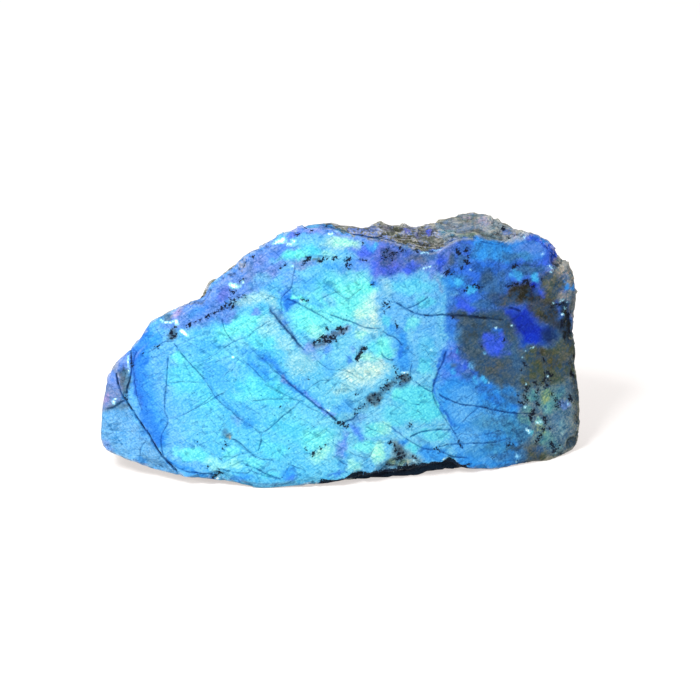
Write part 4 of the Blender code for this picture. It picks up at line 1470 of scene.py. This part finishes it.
@dataclass(frozen=True)
class Relief:
    """The broken faces' relief, as a Geometry Nodes tree and the sizes given to it.

    Attributes:
        sizes: the tree's named inputs and their values, in millimetres or as plain numbers.
    """

    sizes: dict[str, float] = field(
        default_factory=lambda: {
            "Facet Size": 5.5,
            "Facet Depth": 0.62,
            "Chip Size": 1.9,
            "Chip Depth": 0.17,
            "Ledge Step": 1.5,
            "Ledge Depth": 0.34,
            "Ledge Patch": 8.0,
            "Grain Size": 0.9,
            "Grain Depth": 0.08,
            "Highest": 0.35,
            "Seed": 4.0,
        }
    )

    def tree(self) -> bpy.types.NodeTree:
        """Builds the tree that breaks up the rough faces and sinks the grooves.

        Returns:
            The Geometry Nodes tree.
        """
        tree = bpy.data.node_groups.new("stone_relief", "GeometryNodeTree")
        face = tree.interface
        face.new_socket("Geometry", in_out="INPUT", socket_type="NodeSocketGeometry")
        face.new_socket("Finish", in_out="INPUT", socket_type="NodeSocketMaterial")
        for name in self.sizes:
            face.new_socket(name, in_out="INPUT", socket_type="NodeSocketFloat")
        face.new_socket("Geometry", in_out="OUTPUT", socket_type="NodeSocketGeometry")
        bench = StoneBench(tree)
        given = bench.add("NodeGroupInput")
        size = {name: Wire(bench, given.outputs[name]) for name in self.sizes}
        place = Wire(bench, bench.add("GeometryNodeInputPosition").outputs[0])
        place = bench.vector("SCALE", place, 1.0 / MM)
        seed = bench.add("ShaderNodeCombineXYZ", None, {"X": size["Seed"], "Z": size["Seed"]})
        bench.place = bench.vector("ADD", place, seed.outputs[0])
        facet, facet_id = bench.cells(size["Facet Size"])
        chip, _ = bench.cells(size["Chip Size"])
        grain = bench.clouds(size["Grain Size"]) - 0.5
        patch = bench.clouds(size["Ledge Patch"], 2.0).ramp(0.40, 0.58)
        ledge = self.ledges(bench, size["Ledge Step"]) * (patch * 0.8 + 0.2)
        height = facet / size["Facet Size"] * 2.0 * size["Facet Depth"]
        height = height + chip / size["Chip Size"] * 2.0 * size["Chip Depth"]
        height = height + grain * size["Grain Depth"] * 2.0 - ledge * size["Ledge Depth"]
        height = bench.math("MINIMUM", height, size["Highest"])
        height = height * self.read(bench, "rough") - self.read(bench, "groove")
        normal = bench.add("GeometryNodeInputNormal").outputs[0]
        offset = bench.vector("SCALE", normal, height * MM)
        moved = bench.add(
            "GeometryNodeSetPosition", None, {"Geometry": given.outputs["Geometry"], "Offset": offset}
        )
        stored = bench.add(
            "GeometryNodeStoreNamedAttribute",
            {"data_type": "FLOAT", "domain": "POINT"},
            {"Geometry": moved.outputs[0], "Name": "facet", "Value": facet_id},
        )
        real = bench.add("GeometryNodeRealizeInstances", None, {"Geometry": stored.outputs[0]})
        dressed = bench.add(
            "GeometryNodeSetMaterial",
            None,
            {"Geometry": real.outputs[0], "Material": given.outputs["Finish"]},
        )
        bench.add("NodeGroupOutput", None, {"Geometry": dressed.outputs[0]})
        return tree

    @staticmethod
    def read(bench: StoneBench, name: str) -> Wire:
        """Reads one of the mesh's own values.

        Args:
            bench: the bench of the tree.
            name: the attribute's name.

        Returns:
            Its value.
        """
        node = bench.add("GeometryNodeInputNamedAttribute", {"data_type": "FLOAT"}, {"Name": name})
        return Wire(bench, node.outputs["Attribute"])

    @staticmethod
    def ledges(bench: StoneBench, step: Wire) -> Wire:
        """Cleavage ledges that climb to the back.

        Args:
            bench: the bench of the tree.
            step: the distance between two ledges.

        Returns:
            A saw from 0 to 1 across each ledge.
        """
        climb = bench.vector("DOT_PRODUCT", bench.place, CLEAVAGE_RISE)
        wander = bench.clouds(LEDGE_WANDER, 2.0) * 3.0
        return bench.math("FRACT", climb / step + wander)

    def carve(self, obj: bpy.types.Object, finish: bpy.types.Material) -> None:
        """Lays the tree on an object and keeps the result as its mesh.

        Args:
            obj: the stone, with its values "rough" and "groove".
            finish: the material that the tree sets.
        """
        tree = self.tree()
        modifier = obj.modifiers.new("relief", "NODES")
        modifier.node_group = tree
        for item in tree.interface.items_tree:
            if item.in_out == "INPUT" and item.name in self.sizes:
                modifier[item.identifier] = self.sizes[item.name]
            elif item.in_out == "INPUT" and item.name == "Finish":
                modifier[item.identifier] = finish
        settle(obj)


def settle(obj: bpy.types.Object) -> None:
    """Makes an object's modified shape its plain mesh and drops the modifiers."""
    graph = bpy.context.evaluated_depsgraph_get()
    graph.update()
    mesh = bpy.data.meshes.new_from_object(obj.evaluated_get(graph))
    obj.modifiers.clear()
    obj.data = mesh


def places_of(mesh: bpy.types.Mesh, what: str = "co") -> np.ndarray:
    """The places of a mesh's points, or another triple of theirs."""
    flat = np.empty(len(mesh.vertices) * 3)
    mesh.vertices.foreach_get(what, flat)
    return flat.reshape(-1, 3)


def normals_of(mesh: bpy.types.Mesh) -> np.ndarray:
    """The normals at a mesh's points."""
    return places_of(mesh, "normal")


def stored(mesh: bpy.types.Mesh, name: str) -> np.ndarray:
    """The numbers that a mesh's points carry under a name."""
    values = np.empty(len(mesh.vertices), np.float32)
    mesh.attributes[name].data.foreach_get("value", values)
    return values


def blurred(mesh: bpy.types.Mesh, values: np.ndarray, rounds: int) -> np.ndarray:
    """Spreads values along the edges of a mesh.

    Args:
        mesh: the mesh.
        values: one value, or one row of values, for each point.
        rounds: how many times each point takes the mean of its neighbours and itself.

    Returns:
        The spread values.
    """
    ends = np.empty(len(mesh.edges) * 2, np.int64)
    mesh.edges.foreach_get("vertices", ends)
    first, second = ends.reshape(-1, 2).T
    count = np.bincount(ends, minlength=len(values)) + 1.0
    columns = values.reshape(len(values), -1).astype(float)
    for _ in range(rounds):
        total = columns.copy()
        for i in range(columns.shape[1]):
            total[:, i] += np.bincount(first, columns[second, i], len(values))
            total[:, i] += np.bincount(second, columns[first, i], len(values))
        columns = total / count[:, None]
    return columns.reshape(values.shape)


def store(mesh: bpy.types.Mesh, name: str, values: np.ndarray) -> None:
    """Stores one number or one colour for each point of a mesh.

    Args:
        mesh: the mesh.
        name: the attribute's name.
        values: one number, or a row of red, green and blue, for each point.
    """
    if name in mesh.attributes:
        mesh.attributes.remove(mesh.attributes[name])
    if values.ndim == 1:
        mesh.attributes.new(name, "FLOAT", "POINT").data.foreach_set("value", values.astype(np.float32))
        return
    rgba = np.ones((len(values), 4), np.float32)
    rgba[:, :3] = values
    mesh.attributes.new(name, "FLOAT_COLOR", "POINT").data.foreach_set("color", rgba.ravel())


@dataclass
class StoneBody:
    """The stone's own mesh: the solid cut finer, trued, grooved and broken up.

    Attributes:
        solid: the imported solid's object.
        view: the viewpoint that rules the sheet.
        front: the ground face's rule.
        voxel: edge of the fine mesh in millimetres.
        seam_reach: sheet distance from a mark within which the mesh is cut finer.
        weld: distance in millimetres at which the solid's points are one.
        nudge_edge: millimetres over which a shift behind the face sets in.
        dome_gap: distances from the dome, in millimetres, for none and for all of the truing.
        dome_facing: how far a point faces front for none and for all of it.
        seen: how far a point faces the eye from which it is seen.
    """

    solid: bpy.types.Object
    view: Viewpoint
    front: GroundFront
    voxel: float = 0.94
    seam_reach: float = 1.9
    weld: float = 0.001
    nudge_edge: float = 0.8
    dome_gap: Point = (0.42, 0.22)
    dome_facing: Point = (0.55, 0.75)
    seen: float = 0.12
    obj: bpy.types.Object = field(init=False)

    def build(self, name: str) -> bpy.types.Object:
        """Builds the fine mesh with its masks.

        Args:
            name: the new object's name.

        Returns:
            The new object.
        """
        mesh = self.solid.data.copy()
        mesh.materials.clear()
        shell = bmesh.new()
        shell.from_mesh(mesh)
        bmesh.ops.remove_doubles(shell, verts=shell.verts, dist=self.weld * MM)
        shell.to_mesh(mesh)
        shell.free()
        self.obj = bpy.data.objects.new(name, mesh)
        bpy.context.scene.collection.objects.link(self.obj)
        remesh = self.obj.modifiers.new("fine", "REMESH")
        remesh.mode = "VOXEL"
        remesh.voxel_size = self.voxel * MM
        settle(self.obj)
        self.nudge()
        self.true_front()
        self.cut_finer(self.seen_side())
        self.cut_finer(self.near_marks())
        self.true_front()
        self.mark_rough()
        return self.obj

    def nudge(self) -> None:
        """Trues the outline with the small shifts listed for it."""
        mesh = self.obj.data
        places = places_of(mesh)
        spots = self.view.project(places)
        right, up, _ = self.view.axes()
        gap = (places[:, 1] - self.front.depth(places)) / MM
        foot = places[:, 2].min()
        for mark in NUDGES:
            share = fade(path_distance(spots, np.array((mark.at,))), mark.reach, 0.0)
            share *= fade(gap, mark.behind, mark.behind + self.nudge_edge)
            shift = (mark.shift[0] * right - mark.shift[1] * up) * SHEET_UNIT
            places += share[:, None] * shift
        places[:, 2] = np.maximum(places[:, 2], foot)
        mesh.vertices.foreach_set("co", places.ravel())
        mesh.update()

    def true_front(self) -> None:
        """Draws the ground face's points onto its dome and stores how ground each is."""
        mesh = self.obj.data
        places = places_of(mesh)
        deep = self.front.depth(places)
        gap = (places[:, 1] - deep) / MM
        ground = fade(np.abs(gap), *self.dome_gap) * fade(-normals_of(mesh)[:, 1], *self.dome_facing)
        ground = fade(blurred(mesh, ground, 4), 0.35, 0.9)
        places[:, 1] += (deep - places[:, 1]) * ground
        mesh.vertices.foreach_set("co", places.ravel())
        mesh.update()
        store(mesh, "ground", ground)

    def mark_gap(self, spots: np.ndarray) -> np.ndarray:
        """Sheet distance from each spot to the nearest line or grain."""
        gap = np.full(len(spots), 1e3)
        for mark in SEAMS + INCLUSIONS_AND_SHADE + SHARDS_AND_HIGHLIGHTS:
            margin = 0.5 * mark.width if isinstance(mark, Seam) else mark.radius
            near = within(spots, mark.box(), self.seam_reach)
            edge = path_distance(spots[near], np.array(mark.path, float)) - margin
            gap[near] = np.minimum(gap[near], edge)
        return gap

    def seen_side(self) -> np.ndarray:
        """Which points face the eye."""
        return normals_of(self.obj.data) @ self.view.axes()[2] > self.seen

    def near_marks(self) -> np.ndarray:
        """Which seen points lie near lines and grains."""
        spots = self.view.project(places_of(self.obj.data))
        return self.seen_side() & (self.mark_gap(spots) < self.seam_reach)

    def cut_finer(self, chosen: np.ndarray) -> None:
        """Halves the edges between chosen points.

        Args:
            chosen: True for each chosen point.
        """
        mesh = self.obj.data
        work = bmesh.new()
        work.from_mesh(mesh)
        work.verts.ensure_lookup_table()
        edges = [e for e in work.edges if chosen[e.verts[0].index] and chosen[e.verts[1].index]]
        bmesh.ops.subdivide_edges(work, edges=edges, cuts=1, use_grid_fill=True)
        wide = [f for f in work.faces if len(f.verts) > 4]
        bmesh.ops.triangulate(work, faces=wide)
        work.to_mesh(mesh)
        work.free()
        mesh.update()

    def mark_rough(self) -> None:
        """Stores where the relief goes: off the ground face and clear of the floor."""
        mesh = self.obj.data
        places = places_of(mesh)
        off_face = fade(blurred(mesh, stored(mesh, "ground"), 14), 0.34, 0.0)
        spots = self.view.project(places)
        calm = np.max([mark.cover(spots) for mark in CALMS], axis=0)
        calm *= normals_of(mesh) @ self.view.axes()[2] > 0.0
        off_floor = fade(places[:, 2] / MM, 0.4, 1.8)
        store(mesh, "rough", off_face * off_floor * (1.0 - blurred(mesh, calm, 6)))

    def sharpen(self, degrees: float = 32.0) -> None:
        """Shades smooth, with hard edges where facets meet.

        Args:
            degrees: the angle between two faces from which their edge is hard.
        """
        mesh = self.obj.data
        mesh.shade_smooth()
        mesh.set_sharp_from_angle(angle=math.radians(degrees))


@dataclass
class FacePainter:
    """Lays the marks on the stone as values of its points.

    Attributes:
        stone: the object to paint.
        view: the viewpoint that rules the sheet.
        wander: how far, in sheet units, soft edges stray, and over what grain.
        line_wander: the same for lines and grains, and the salt of its noise.
    """

    stone: bpy.types.Object
    view: Viewpoint
    wander: tuple[tuple[float, float], ...] = ((4.5, 26.0), (3.2, 9.0), (2.2, 3.8), (1.4, 2.2))
    line_wander: tuple[float, float, float] = (0.7, 5.0, 31.0)

    def paint(self) -> None:
        """Stores the colours, the lines, the grains and how far the sheet reaches."""
        mesh = self.stone.data
        places = places_of(mesh)
        spots = self.view.project(places)
        strayed = spots.copy()
        for amount, size in self.wander:
            strayed += amount * smooth_noise(spots, size, size)[:, :2]
        tint = np.tile(AZURE.linear(), (len(spots), 1))
        bare = np.zeros(len(spots))
        for mark in FLASHES:
            near = within(strayed, mark.box())
            cover = mark.cover(strayed[near])
            tint[near] += (mark.tint.linear() - tint[near]) * cover[:, None]
            bare[near] += ((mark.tint is RIND) - bare[near]) * cover
        store(mesh, "tint", tint)
        murk = np.zeros(len(spots))
        for mark in VEILS:
            near = within(strayed, mark.box())
            murk[near] += ((mark.tint is MURK) - murk[near]) * mark.cover(strayed[near])
        store(mesh, "murk", murk)
        amount, size, salt = self.line_wander
        fine = spots + amount * smooth_noise(spots, size, salt)[:, :2]
        line, groove = np.zeros(len(spots)), np.zeros(len(spots))
        for seam in SEAMS:
            near = within(fine, seam.box())
            gap = path_distance(fine[near], rounded(seam.path)) / seam.width
            line[near] = np.maximum(line[near], seam.dark * fade(gap, 0.88, 0.18))
            groove[near] = np.maximum(groove[near], seam.depth * fade(gap, 0.9, 0.2))
        shown = self.shown(places)
        store(mesh, "seam", line * shown)
        store(mesh, "groove", groove * shown)
        store(mesh, "painted", shown * (1.0 - bare))
        ground = stored(mesh, "ground")
        # dark inclusions with the painted shade under the arch, then pale shards with painted highlights
        # among them
        for name, marks in (("ink_and_shade", INCLUSIONS_AND_SHADE), ("shard_and_highlight", SHARDS_AND_HIGHLIGHTS)):
            depth = np.full(len(spots), NO_GRAIN)
            for spot in marks:
                near = within(fine, spot.box())
                # the painted shade under the arch lies only where the stone stands back from the ground
                # face
                if spot.recessed:
                    near = near[ground[near] < 0.5]
                gap = path_distance(fine[near], np.array(spot.path, float))
                depth[near] = np.maximum(depth[near], spot.radius - gap)
            store(mesh, name, np.where(shown > 0.3, depth, NO_GRAIN))

    def shown(self, places: np.ndarray) -> np.ndarray:
        """How far the sheet reaches each point: 1 where it faces the eye, 0 behind.

        Args:
            places: the points of the stone.

        Returns:
            A share from 0 to 1 for each point.
        """
        mesh = self.stone.data
        back = self.view.axes()[2]
        facing = normals_of(mesh) @ back
        eye = Vector(self.view.eye())
        graph = bpy.context.evaluated_depsgraph_get()
        tree = BVHTree.FromObject(self.stone, graph)
        open_to = np.zeros(len(places))
        for i in np.flatnonzero(facing > -0.04):
            start = Vector(places[i])
            way = (eye - start).normalized()
            open_to[i] = tree.ray_cast(start + way * 0.9 * MM, way)[0] is None
        share = fade(facing, -0.04, 0.10) * fade(blurred(mesh, open_to, 5), 0.3, 0.7)
        return blurred(mesh, share, 2)


# --- Finishes ---


class StoneCoat(StoneBench):
    """The bench on which the stone's material is laid out."""

    def __init__(self, tree: bpy.types.NodeTree) -> None:
        """Takes the material's tree and reads the place on the stone.

        Args:
            tree: the material's shader tree.
        """
        super().__init__(tree)
        place = Wire(self, self.add("ShaderNodeTexCoord").outputs["Object"])
        self.place = self.vector("SCALE", place, 1.0 / MM)

    def value(self, name: str) -> Wire:
        """Reads the number that the mesh carries under a name."""
        return Wire(self, self.add("ShaderNodeAttribute", {"attribute_name": name}).outputs["Fac"])

    def times(self, colour: object, gains: Sequence[float]) -> Wire:
        """Multiplies a colour's red, green and blue, each by its own gain."""
        return self.mix(1.0, colour, (*gains, 1.0), "MULTIPLY")

    def layers(self, colour: Wire, *rows: tuple[Wire, float, float, Wire | float, object]) -> Wire:
        """Lays colours over another, each where its pattern rises.

        Args:
            colour: the colour under them.
            rows: for each, its pattern, the value that gives none, the value that gives
                all, the share that it covers at most, and its colour.

        Returns:
            The colour with all of them.
        """
        for pattern, low, high, share, over in rows:
            top = over.rgba() if isinstance(over, Tint) else over
            colour = self.mix(pattern.ramp(low, high) * share, colour, top)
        return colour

    def drawn_out(self, along: Wire, across: Wire, detail: float = 3.0) -> Wire:
        """Noise drawn out along a direction.

        Args:
            along: the way along it, in lengths of a streak.
            across: the way across it, in widths of a streak.
            detail: how many finer layers it has.

        Returns:
            Its value, about 0 to 1.
        """
        drawn = self.add("ShaderNodeCombineXYZ", None, {"X": along, "Y": across})
        return self.clouds(1.0, detail, Wire(self, drawn.outputs[0]))

    def streaks(self, rise: float, length: float, width: float, detail: float = 3.0) -> Wire:
        """Streaks of noise across the face.

        Args:
            rise: degrees that they rise to the right.
            length: their length in millimetres.
            width: their width in millimetres.
            detail: how many finer layers they have.

        Returns:
            Their value, about 0 to 1.
        """
        angle = math.radians(rise)
        along = self.vector("DOT_PRODUCT", self.place, (math.cos(angle), 0.0, math.sin(angle)))
        across = self.vector("DOT_PRODUCT", self.place, (-math.sin(angle), 0.0, math.cos(angle)))
        return self.drawn_out(along / length, across / width, detail)

    def flash(self, gain: Sequence[float]) -> Wire:
        """The painted colour with the crystal's mottling and its fine striping.

        Args:
            gain: brightness of its red, green and blue.

        Returns:
            The colour.
        """
        tint = self.add("ShaderNodeAttribute", {"attribute_name": "tint"})
        colour = self.times(tint.outputs["Color"], gain)
        broad = self.clouds(5.0)
        middle = self.clouds(1.5, 4.0)
        fine = self.clouds(0.48, 2.0)
        murk = self.value("murk") * self.clouds(2.0, 5.0).ramp(0.40, 0.58)
        murk = murk * (fine.ramp(0.64, 0.36) * 0.8 + 0.55)
        colour = self.mix(murk, colour, self.mix(0.65, colour, MURK.rgba()))
        deep = self.times(colour, DEEPER)
        pale = self.mix(1.0, self.times(colour, PALER), (*PALE_HAZE, 1.0), "ADD")
        stain = self.times(colour, PIN_STAIN)
        colour = self.layers(
            colour,
            (broad, 0.54, 0.36, 0.35, deep),
            (middle, 0.50, 0.34, 0.40, deep),
            (middle, 0.54, 0.70, 0.35, pale),
            (fine, 0.48, 0.34, 0.60, deep),
            (fine, 0.53, 0.67, 0.55, pale),
        )
        for rise, length, width, share in STRIPES:
            streak = self.streaks(rise, length, width)
            colour = self.layers(colour, (streak, 0.46, 0.34, share, deep))
        for rise, length, width, share in VEINS:
            crossing = self.math("ABSOLUTE", self.streaks(rise, length, width, 1.0) - 0.5)
            share = middle.ramp(0.46, 0.56) * share
            colour = self.layers(colour, (crossing, 0.030, 0.006, share, stain))
        pins = self.add("ShaderNodeTexVoronoi", None, {"Vector": self.place, "Scale": 1.0 / PIN_CELL})
        chance = self.add("ShaderNodeSeparateXYZ", None, {0: pins.outputs["Color"]})
        share = Wire(self, chance.outputs[0]).ramp(0.60, 0.80) * 0.80
        return self.layers(colour, (Wire(self, pins.outputs["Distance"]), 0.16, 0.09, share, stain))

    def rock(self) -> tuple[Wire, Wire]:
        """The broken feldspar: brown to grey facets, pale ledges and odd blue flashes.

        Returns:
            Its colour, and its fine height in millimetres.
        """
        facet = self.value("facet")
        broad = self.clouds(14.0)
        middle = self.clouds(1.8, 5.0)
        fine = self.clouds(0.6)
        strata = self.strata()
        patch = self.clouds(7.0, 2.0).ramp(0.42, 0.56) * 0.55 + 0.30
        glint = facet.ramp(0.70, 0.74) * self.clouds(9.0, 2.0).ramp(0.50, 0.60)
        violet = self.clouds(2.1, 2.0).ramp(0.54, 0.62)
        colour = self.layers(
            self.mix(broad.ramp(0.38, 0.62), OLIVE.rgba(), ASH.rgba()),
            (facet, 0.35, 0.75, 0.70, SMOKE),
            (middle, 0.52, 0.66, 0.65, SAND),
            (middle, 0.46, 0.34, 0.70, BROWN),
            (strata, 0.53, 0.64, patch, CHALK),
            (strata, 0.47, 0.36, patch, UMBER),
            (fine, 0.40, 0.56, glint * 0.42, COBALT),
            (fine, 0.40, 0.55, violet * 0.45, DUSK),
            (fine, 0.54, 0.68, 0.45, CHALK),
            (fine, 0.46, 0.34, 0.60, UMBER),
        )
        chip, _ = self.cells(0.85)
        return colour, chip * 0.35 + fine * 0.12 + strata * patch * 0.22

    def strata(self) -> Wire:
        """The thin layers of the broken faces, as noise drawn out along them.

        Returns:
            Its value, about 0 to 1.
        """
        along = self.vector("DOT_PRODUCT", self.place, (0.98, 0.10, -0.10))
        climb = self.vector("DOT_PRODUCT", self.place, (0.10, 0.42, 0.90))
        bend = self.clouds(7.0, 2.0) * 5.0
        return self.drawn_out(along / 5.0, climb / 0.45 + bend)

    def satin_height(self) -> Wire:
        """The ground face's faint ripple less its pinholes, as a height in millimetres."""
        pins = self.clouds(0.45, 1.0).ramp(0.34, 0.24) * 0.035
        return self.clouds(1.4) * 0.030 - pins

    def relief_shade(self, colour: Wire, ground: Wire) -> Wire:
        """Painted shade in the hollows, and paler raised edges, on the broken faces.

        Args:
            colour: the colour under them.
            ground: how ground the surface is.

        Returns:
            The colour with both.
        """
        hollow = self.value("hollow")
        broken = 1.0 - ground
        return self.layers(
            colour,
            # painted shade: the hollows of the broken faces drawn darker
            (hollow, 0.04, 0.20, broken * 0.60, self.times(colour, HOLLOW_SHADE)),
            (hollow, -0.07, -0.20, broken * 0.30, SAND),
        )

    def lines_and_grains(self, colour: Wire) -> Wire:
        """Seams, dark inclusions with the painted shade under the arch, and pale shards with painted
        highlights.

        Args:
            colour: the colour under them.

        Returns:
            The colour with all three.
        """
        wisp = self.clouds(1.1)
        grit = self.clouds(0.45, 2.0)
        broken = self.clouds(2.6, 2.0).ramp(0.30, 0.58)
        seam = self.value("seam") * (wisp + broken * 0.55 + 0.15)
        ragged = (grit - 0.5) * 10.0 + (wisp - 0.5) * 4.0
        ink_and_shade = self.value("ink_and_shade") + ragged - 0.35
        shard_and_highlight = self.value("shard_and_highlight") + ragged * 0.5
        stain = self.times(colour, SEAM_STAIN)
        return self.layers(
            colour,
            (seam, 0.0, 0.66, 0.90, stain),
            (seam, 0.60, 1.10, 0.85, INK),
            # dark inclusions, and the painted shade under the arch
            (ink_and_shade, -2.6, 0.2, 0.40, stain),
            (ink_and_shade, -0.7, 0.5, 0.95, INK),
            # pale shards, and painted highlights
            (shard_and_highlight, -1.6, 0.6, 0.40, HAZE),
            (shard_and_highlight, 0.1, 1.3, 0.55, BONE),
        )


@dataclass(frozen=True)
class StoneFinish:
    """Labradorite: a satin ground face with blue flashes and a brown-grey broken rind.

    Attributes:
        name: the material's name.
        ground_roughness: roughness of the ground face.
        broken_roughness: roughness of the broken faces.
        specular: specular level of both.
        gain: brightness of the painted red, green and blue under the studio's light.
        rock_gain: the same for the bare rock.
    """

    name: str = "labradorite"
    ground_roughness: float = 0.36
    broken_roughness: float = 0.66
    specular: float = 0.05
    gain: tuple[float, float, float] = (0.558, 0.497, 0.417)
    rock_gain: float = 0.64

    def make(self) -> bpy.types.Material:
        """Makes the material.

        Returns:
            The finished material.
        """
        material = bpy.data.materials.new(self.name)
        material.use_nodes = True
        coat = StoneCoat(material.node_tree)
        ground = coat.value("ground")
        rock, rock_height = coat.rock()
        rock = coat.times(rock, (self.rock_gain,) * 3)
        colour = coat.mix(coat.value("painted").ramp(0.05, 0.95), rock, coat.flash(self.gain))
        colour = coat.lines_and_grains(coat.relief_shade(colour, ground))
        height = rock_height * (1.0 - ground) + coat.satin_height() * ground
        bump = coat.add("ShaderNodeBump", None, {"Strength": 1.0, "Distance": MM, "Height": height})
        surface = {
            "Base Color": colour,
            "Roughness": ground * (self.ground_roughness - self.broken_roughness) + self.broken_roughness,
            "Specular IOR Level": self.specular,
            "Normal": bump.outputs["Normal"],
        }
        coat.finish(surface)
        return material


# --- Studio ---


@dataclass(frozen=True)
class Lamp:
    """A soft square lamp.

    Attributes:
        bearing: degrees from the front towards the right, so the left is negative.
        height: degrees above the floor.
        distance: from the stone in metres.
        size: its side in metres.
        power: its power in watts.
    """

    bearing: float
    height: float
    distance: float
    size: float
    power: float


@dataclass
class Studio:
    """A plain pale floor, an even sky, three lamps and the camera.

    Attributes:
        view: the camera's viewpoint.
        sky: strength of the even light.
        floor_glow: how much light the floor gives of itself, which keeps shadows pale.
        lamps: the key from the front left, a low one from the left, a soft one from the right.
    """

    view: Viewpoint
    sky: float = 0.95
    floor_glow: float = 0.56
    lamps: tuple[Lamp, ...] = (
        Lamp(-27.0, 44.0, 0.90, 0.24, 12.6),
        Lamp(-72.0, 18.0, 0.90, 0.24, 5.6),
        Lamp(44.0, 22.0, 0.90, 0.60, 4.0),
    )

    def build(self) -> None:
        """Sets up floor, light and camera."""
        self.lay_floor()
        world = bpy.data.worlds.new("even_light")
        world.use_nodes = True
        bench = NodeBench(world.node_tree)
        sky = bench.add("ShaderNodeBackground", None, {"Color": (1.0, 1.0, 1.0, 1.0), "Strength": self.sky})
        bench.add("ShaderNodeOutputWorld", None, {"Surface": sky.outputs[0]})
        scene = bpy.context.scene
        scene.world = world
        scene.view_settings.view_transform = "Standard"
        for index, lamp in enumerate(self.lamps):
            self.hang(lamp, f"lamp_{index}")
        self.place_camera()

    def lay_floor(self) -> None:
        """Lays the floor under the stone."""
        work = bmesh.new()
        bmesh.ops.create_grid(work, x_segments=1, y_segments=1, size=3.0)
        mesh = bpy.data.meshes.new("floor")
        work.to_mesh(mesh)
        work.free()
        floor = bpy.data.objects.new("floor", mesh)
        bpy.context.scene.collection.objects.link(floor)
        material = bpy.data.materials.new("white_floor")
        material.use_nodes = True
        bench = NodeBench(material.node_tree)
        pale = {
            "Base Color": (0.32, 0.32, 0.32, 1.0),
            "Roughness": 0.9,
            "Specular IOR Level": 0.1,
            "Emission Color": (1.0, 0.93, 0.90, 1.0),
            "Emission Strength": self.floor_glow,
        }
        bench.finish(pale)
        mesh.materials.append(material)

    def hang(self, lamp: Lamp, name: str) -> None:
        """Hangs one lamp that looks at the stone.

        Args:
            lamp: the lamp's sizes.
            name: the new light's name.
        """
        light = bpy.data.lights.new(name, "AREA")
        light.size = lamp.size
        light.energy = lamp.power
        obj = bpy.data.objects.new(name, light)
        bpy.context.scene.collection.objects.link(obj)
        bearing, height = math.radians(lamp.bearing), math.radians(lamp.height)
        flat = math.cos(height)
        towards = Vector((math.sin(bearing) * flat, -math.cos(bearing) * flat, math.sin(height)))
        obj.location = Vector((0.0, 0.0, 0.03)) + towards * lamp.distance
        obj.rotation_euler = towards.to_track_quat("Z", "Y").to_euler()

    def place_camera(self) -> None:
        """Places the camera at the viewpoint."""
        camera = bpy.data.cameras.new("camera")
        camera.sensor_width = self.view.sensor
        camera.lens = self.view.lens
        camera.clip_start = 0.05
        obj = bpy.data.objects.new("camera", camera)
        bpy.context.scene.collection.objects.link(obj)
        obj.location = Vector(self.view.eye())
        obj.rotation_euler = Vector(self.view.axes()[2]).to_track_quat("Z", "Y").to_euler()
        bpy.context.scene.camera = obj


def store_hollows(obj: bpy.types.Object) -> None:
    """Stores how hollow the surface is: above 0 in a hollow, below 0 on an edge."""
    mesh = obj.data
    places = places_of(mesh)
    sunk = np.einsum("ij,ij->i", blurred(mesh, places, 6) - places, normals_of(mesh))
    store(mesh, "hollow", sunk / MM)


def main() -> None:
    """Builds the stone and its studio and reports each piece."""
    logging.basicConfig(level=logging.INFO, format="%(name)s: %(message)s")
    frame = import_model()
    noise.seed_set(NOISE_SEED)
    view = Viewpoint()
    low_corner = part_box(NODE)[0]
    body = StoneBody(frame["nodes"][NODE], view, GroundFront(tuple(low_corner)))
    stone = body.build("labradorite_stone")
    LOG.info("fine mesh: %d points", len(stone.data.vertices))
    FacePainter(stone, view).paint()
    grain_count = len(INCLUSIONS_AND_SHADE + SHARDS_AND_HIGHLIGHTS)
    LOG.info("marks laid: %d colours, %d seams, %d grains", len(FLASHES), len(SEAMS), grain_count)
    finish = StoneFinish().make()
    Relief().carve(stone, finish)
    store_hollows(stone)
    body.sharpen()
    triangles = sum(len(face.vertices) - 2 for face in stone.data.polygons)
    LOG.info("stone: %d triangles", triangles)
    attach(stone, "root")
    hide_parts(NODE)
    Studio(view).build()
    LOG.info("studio: floor, lamps, camera")


if __name__ == "__main__":
    main()
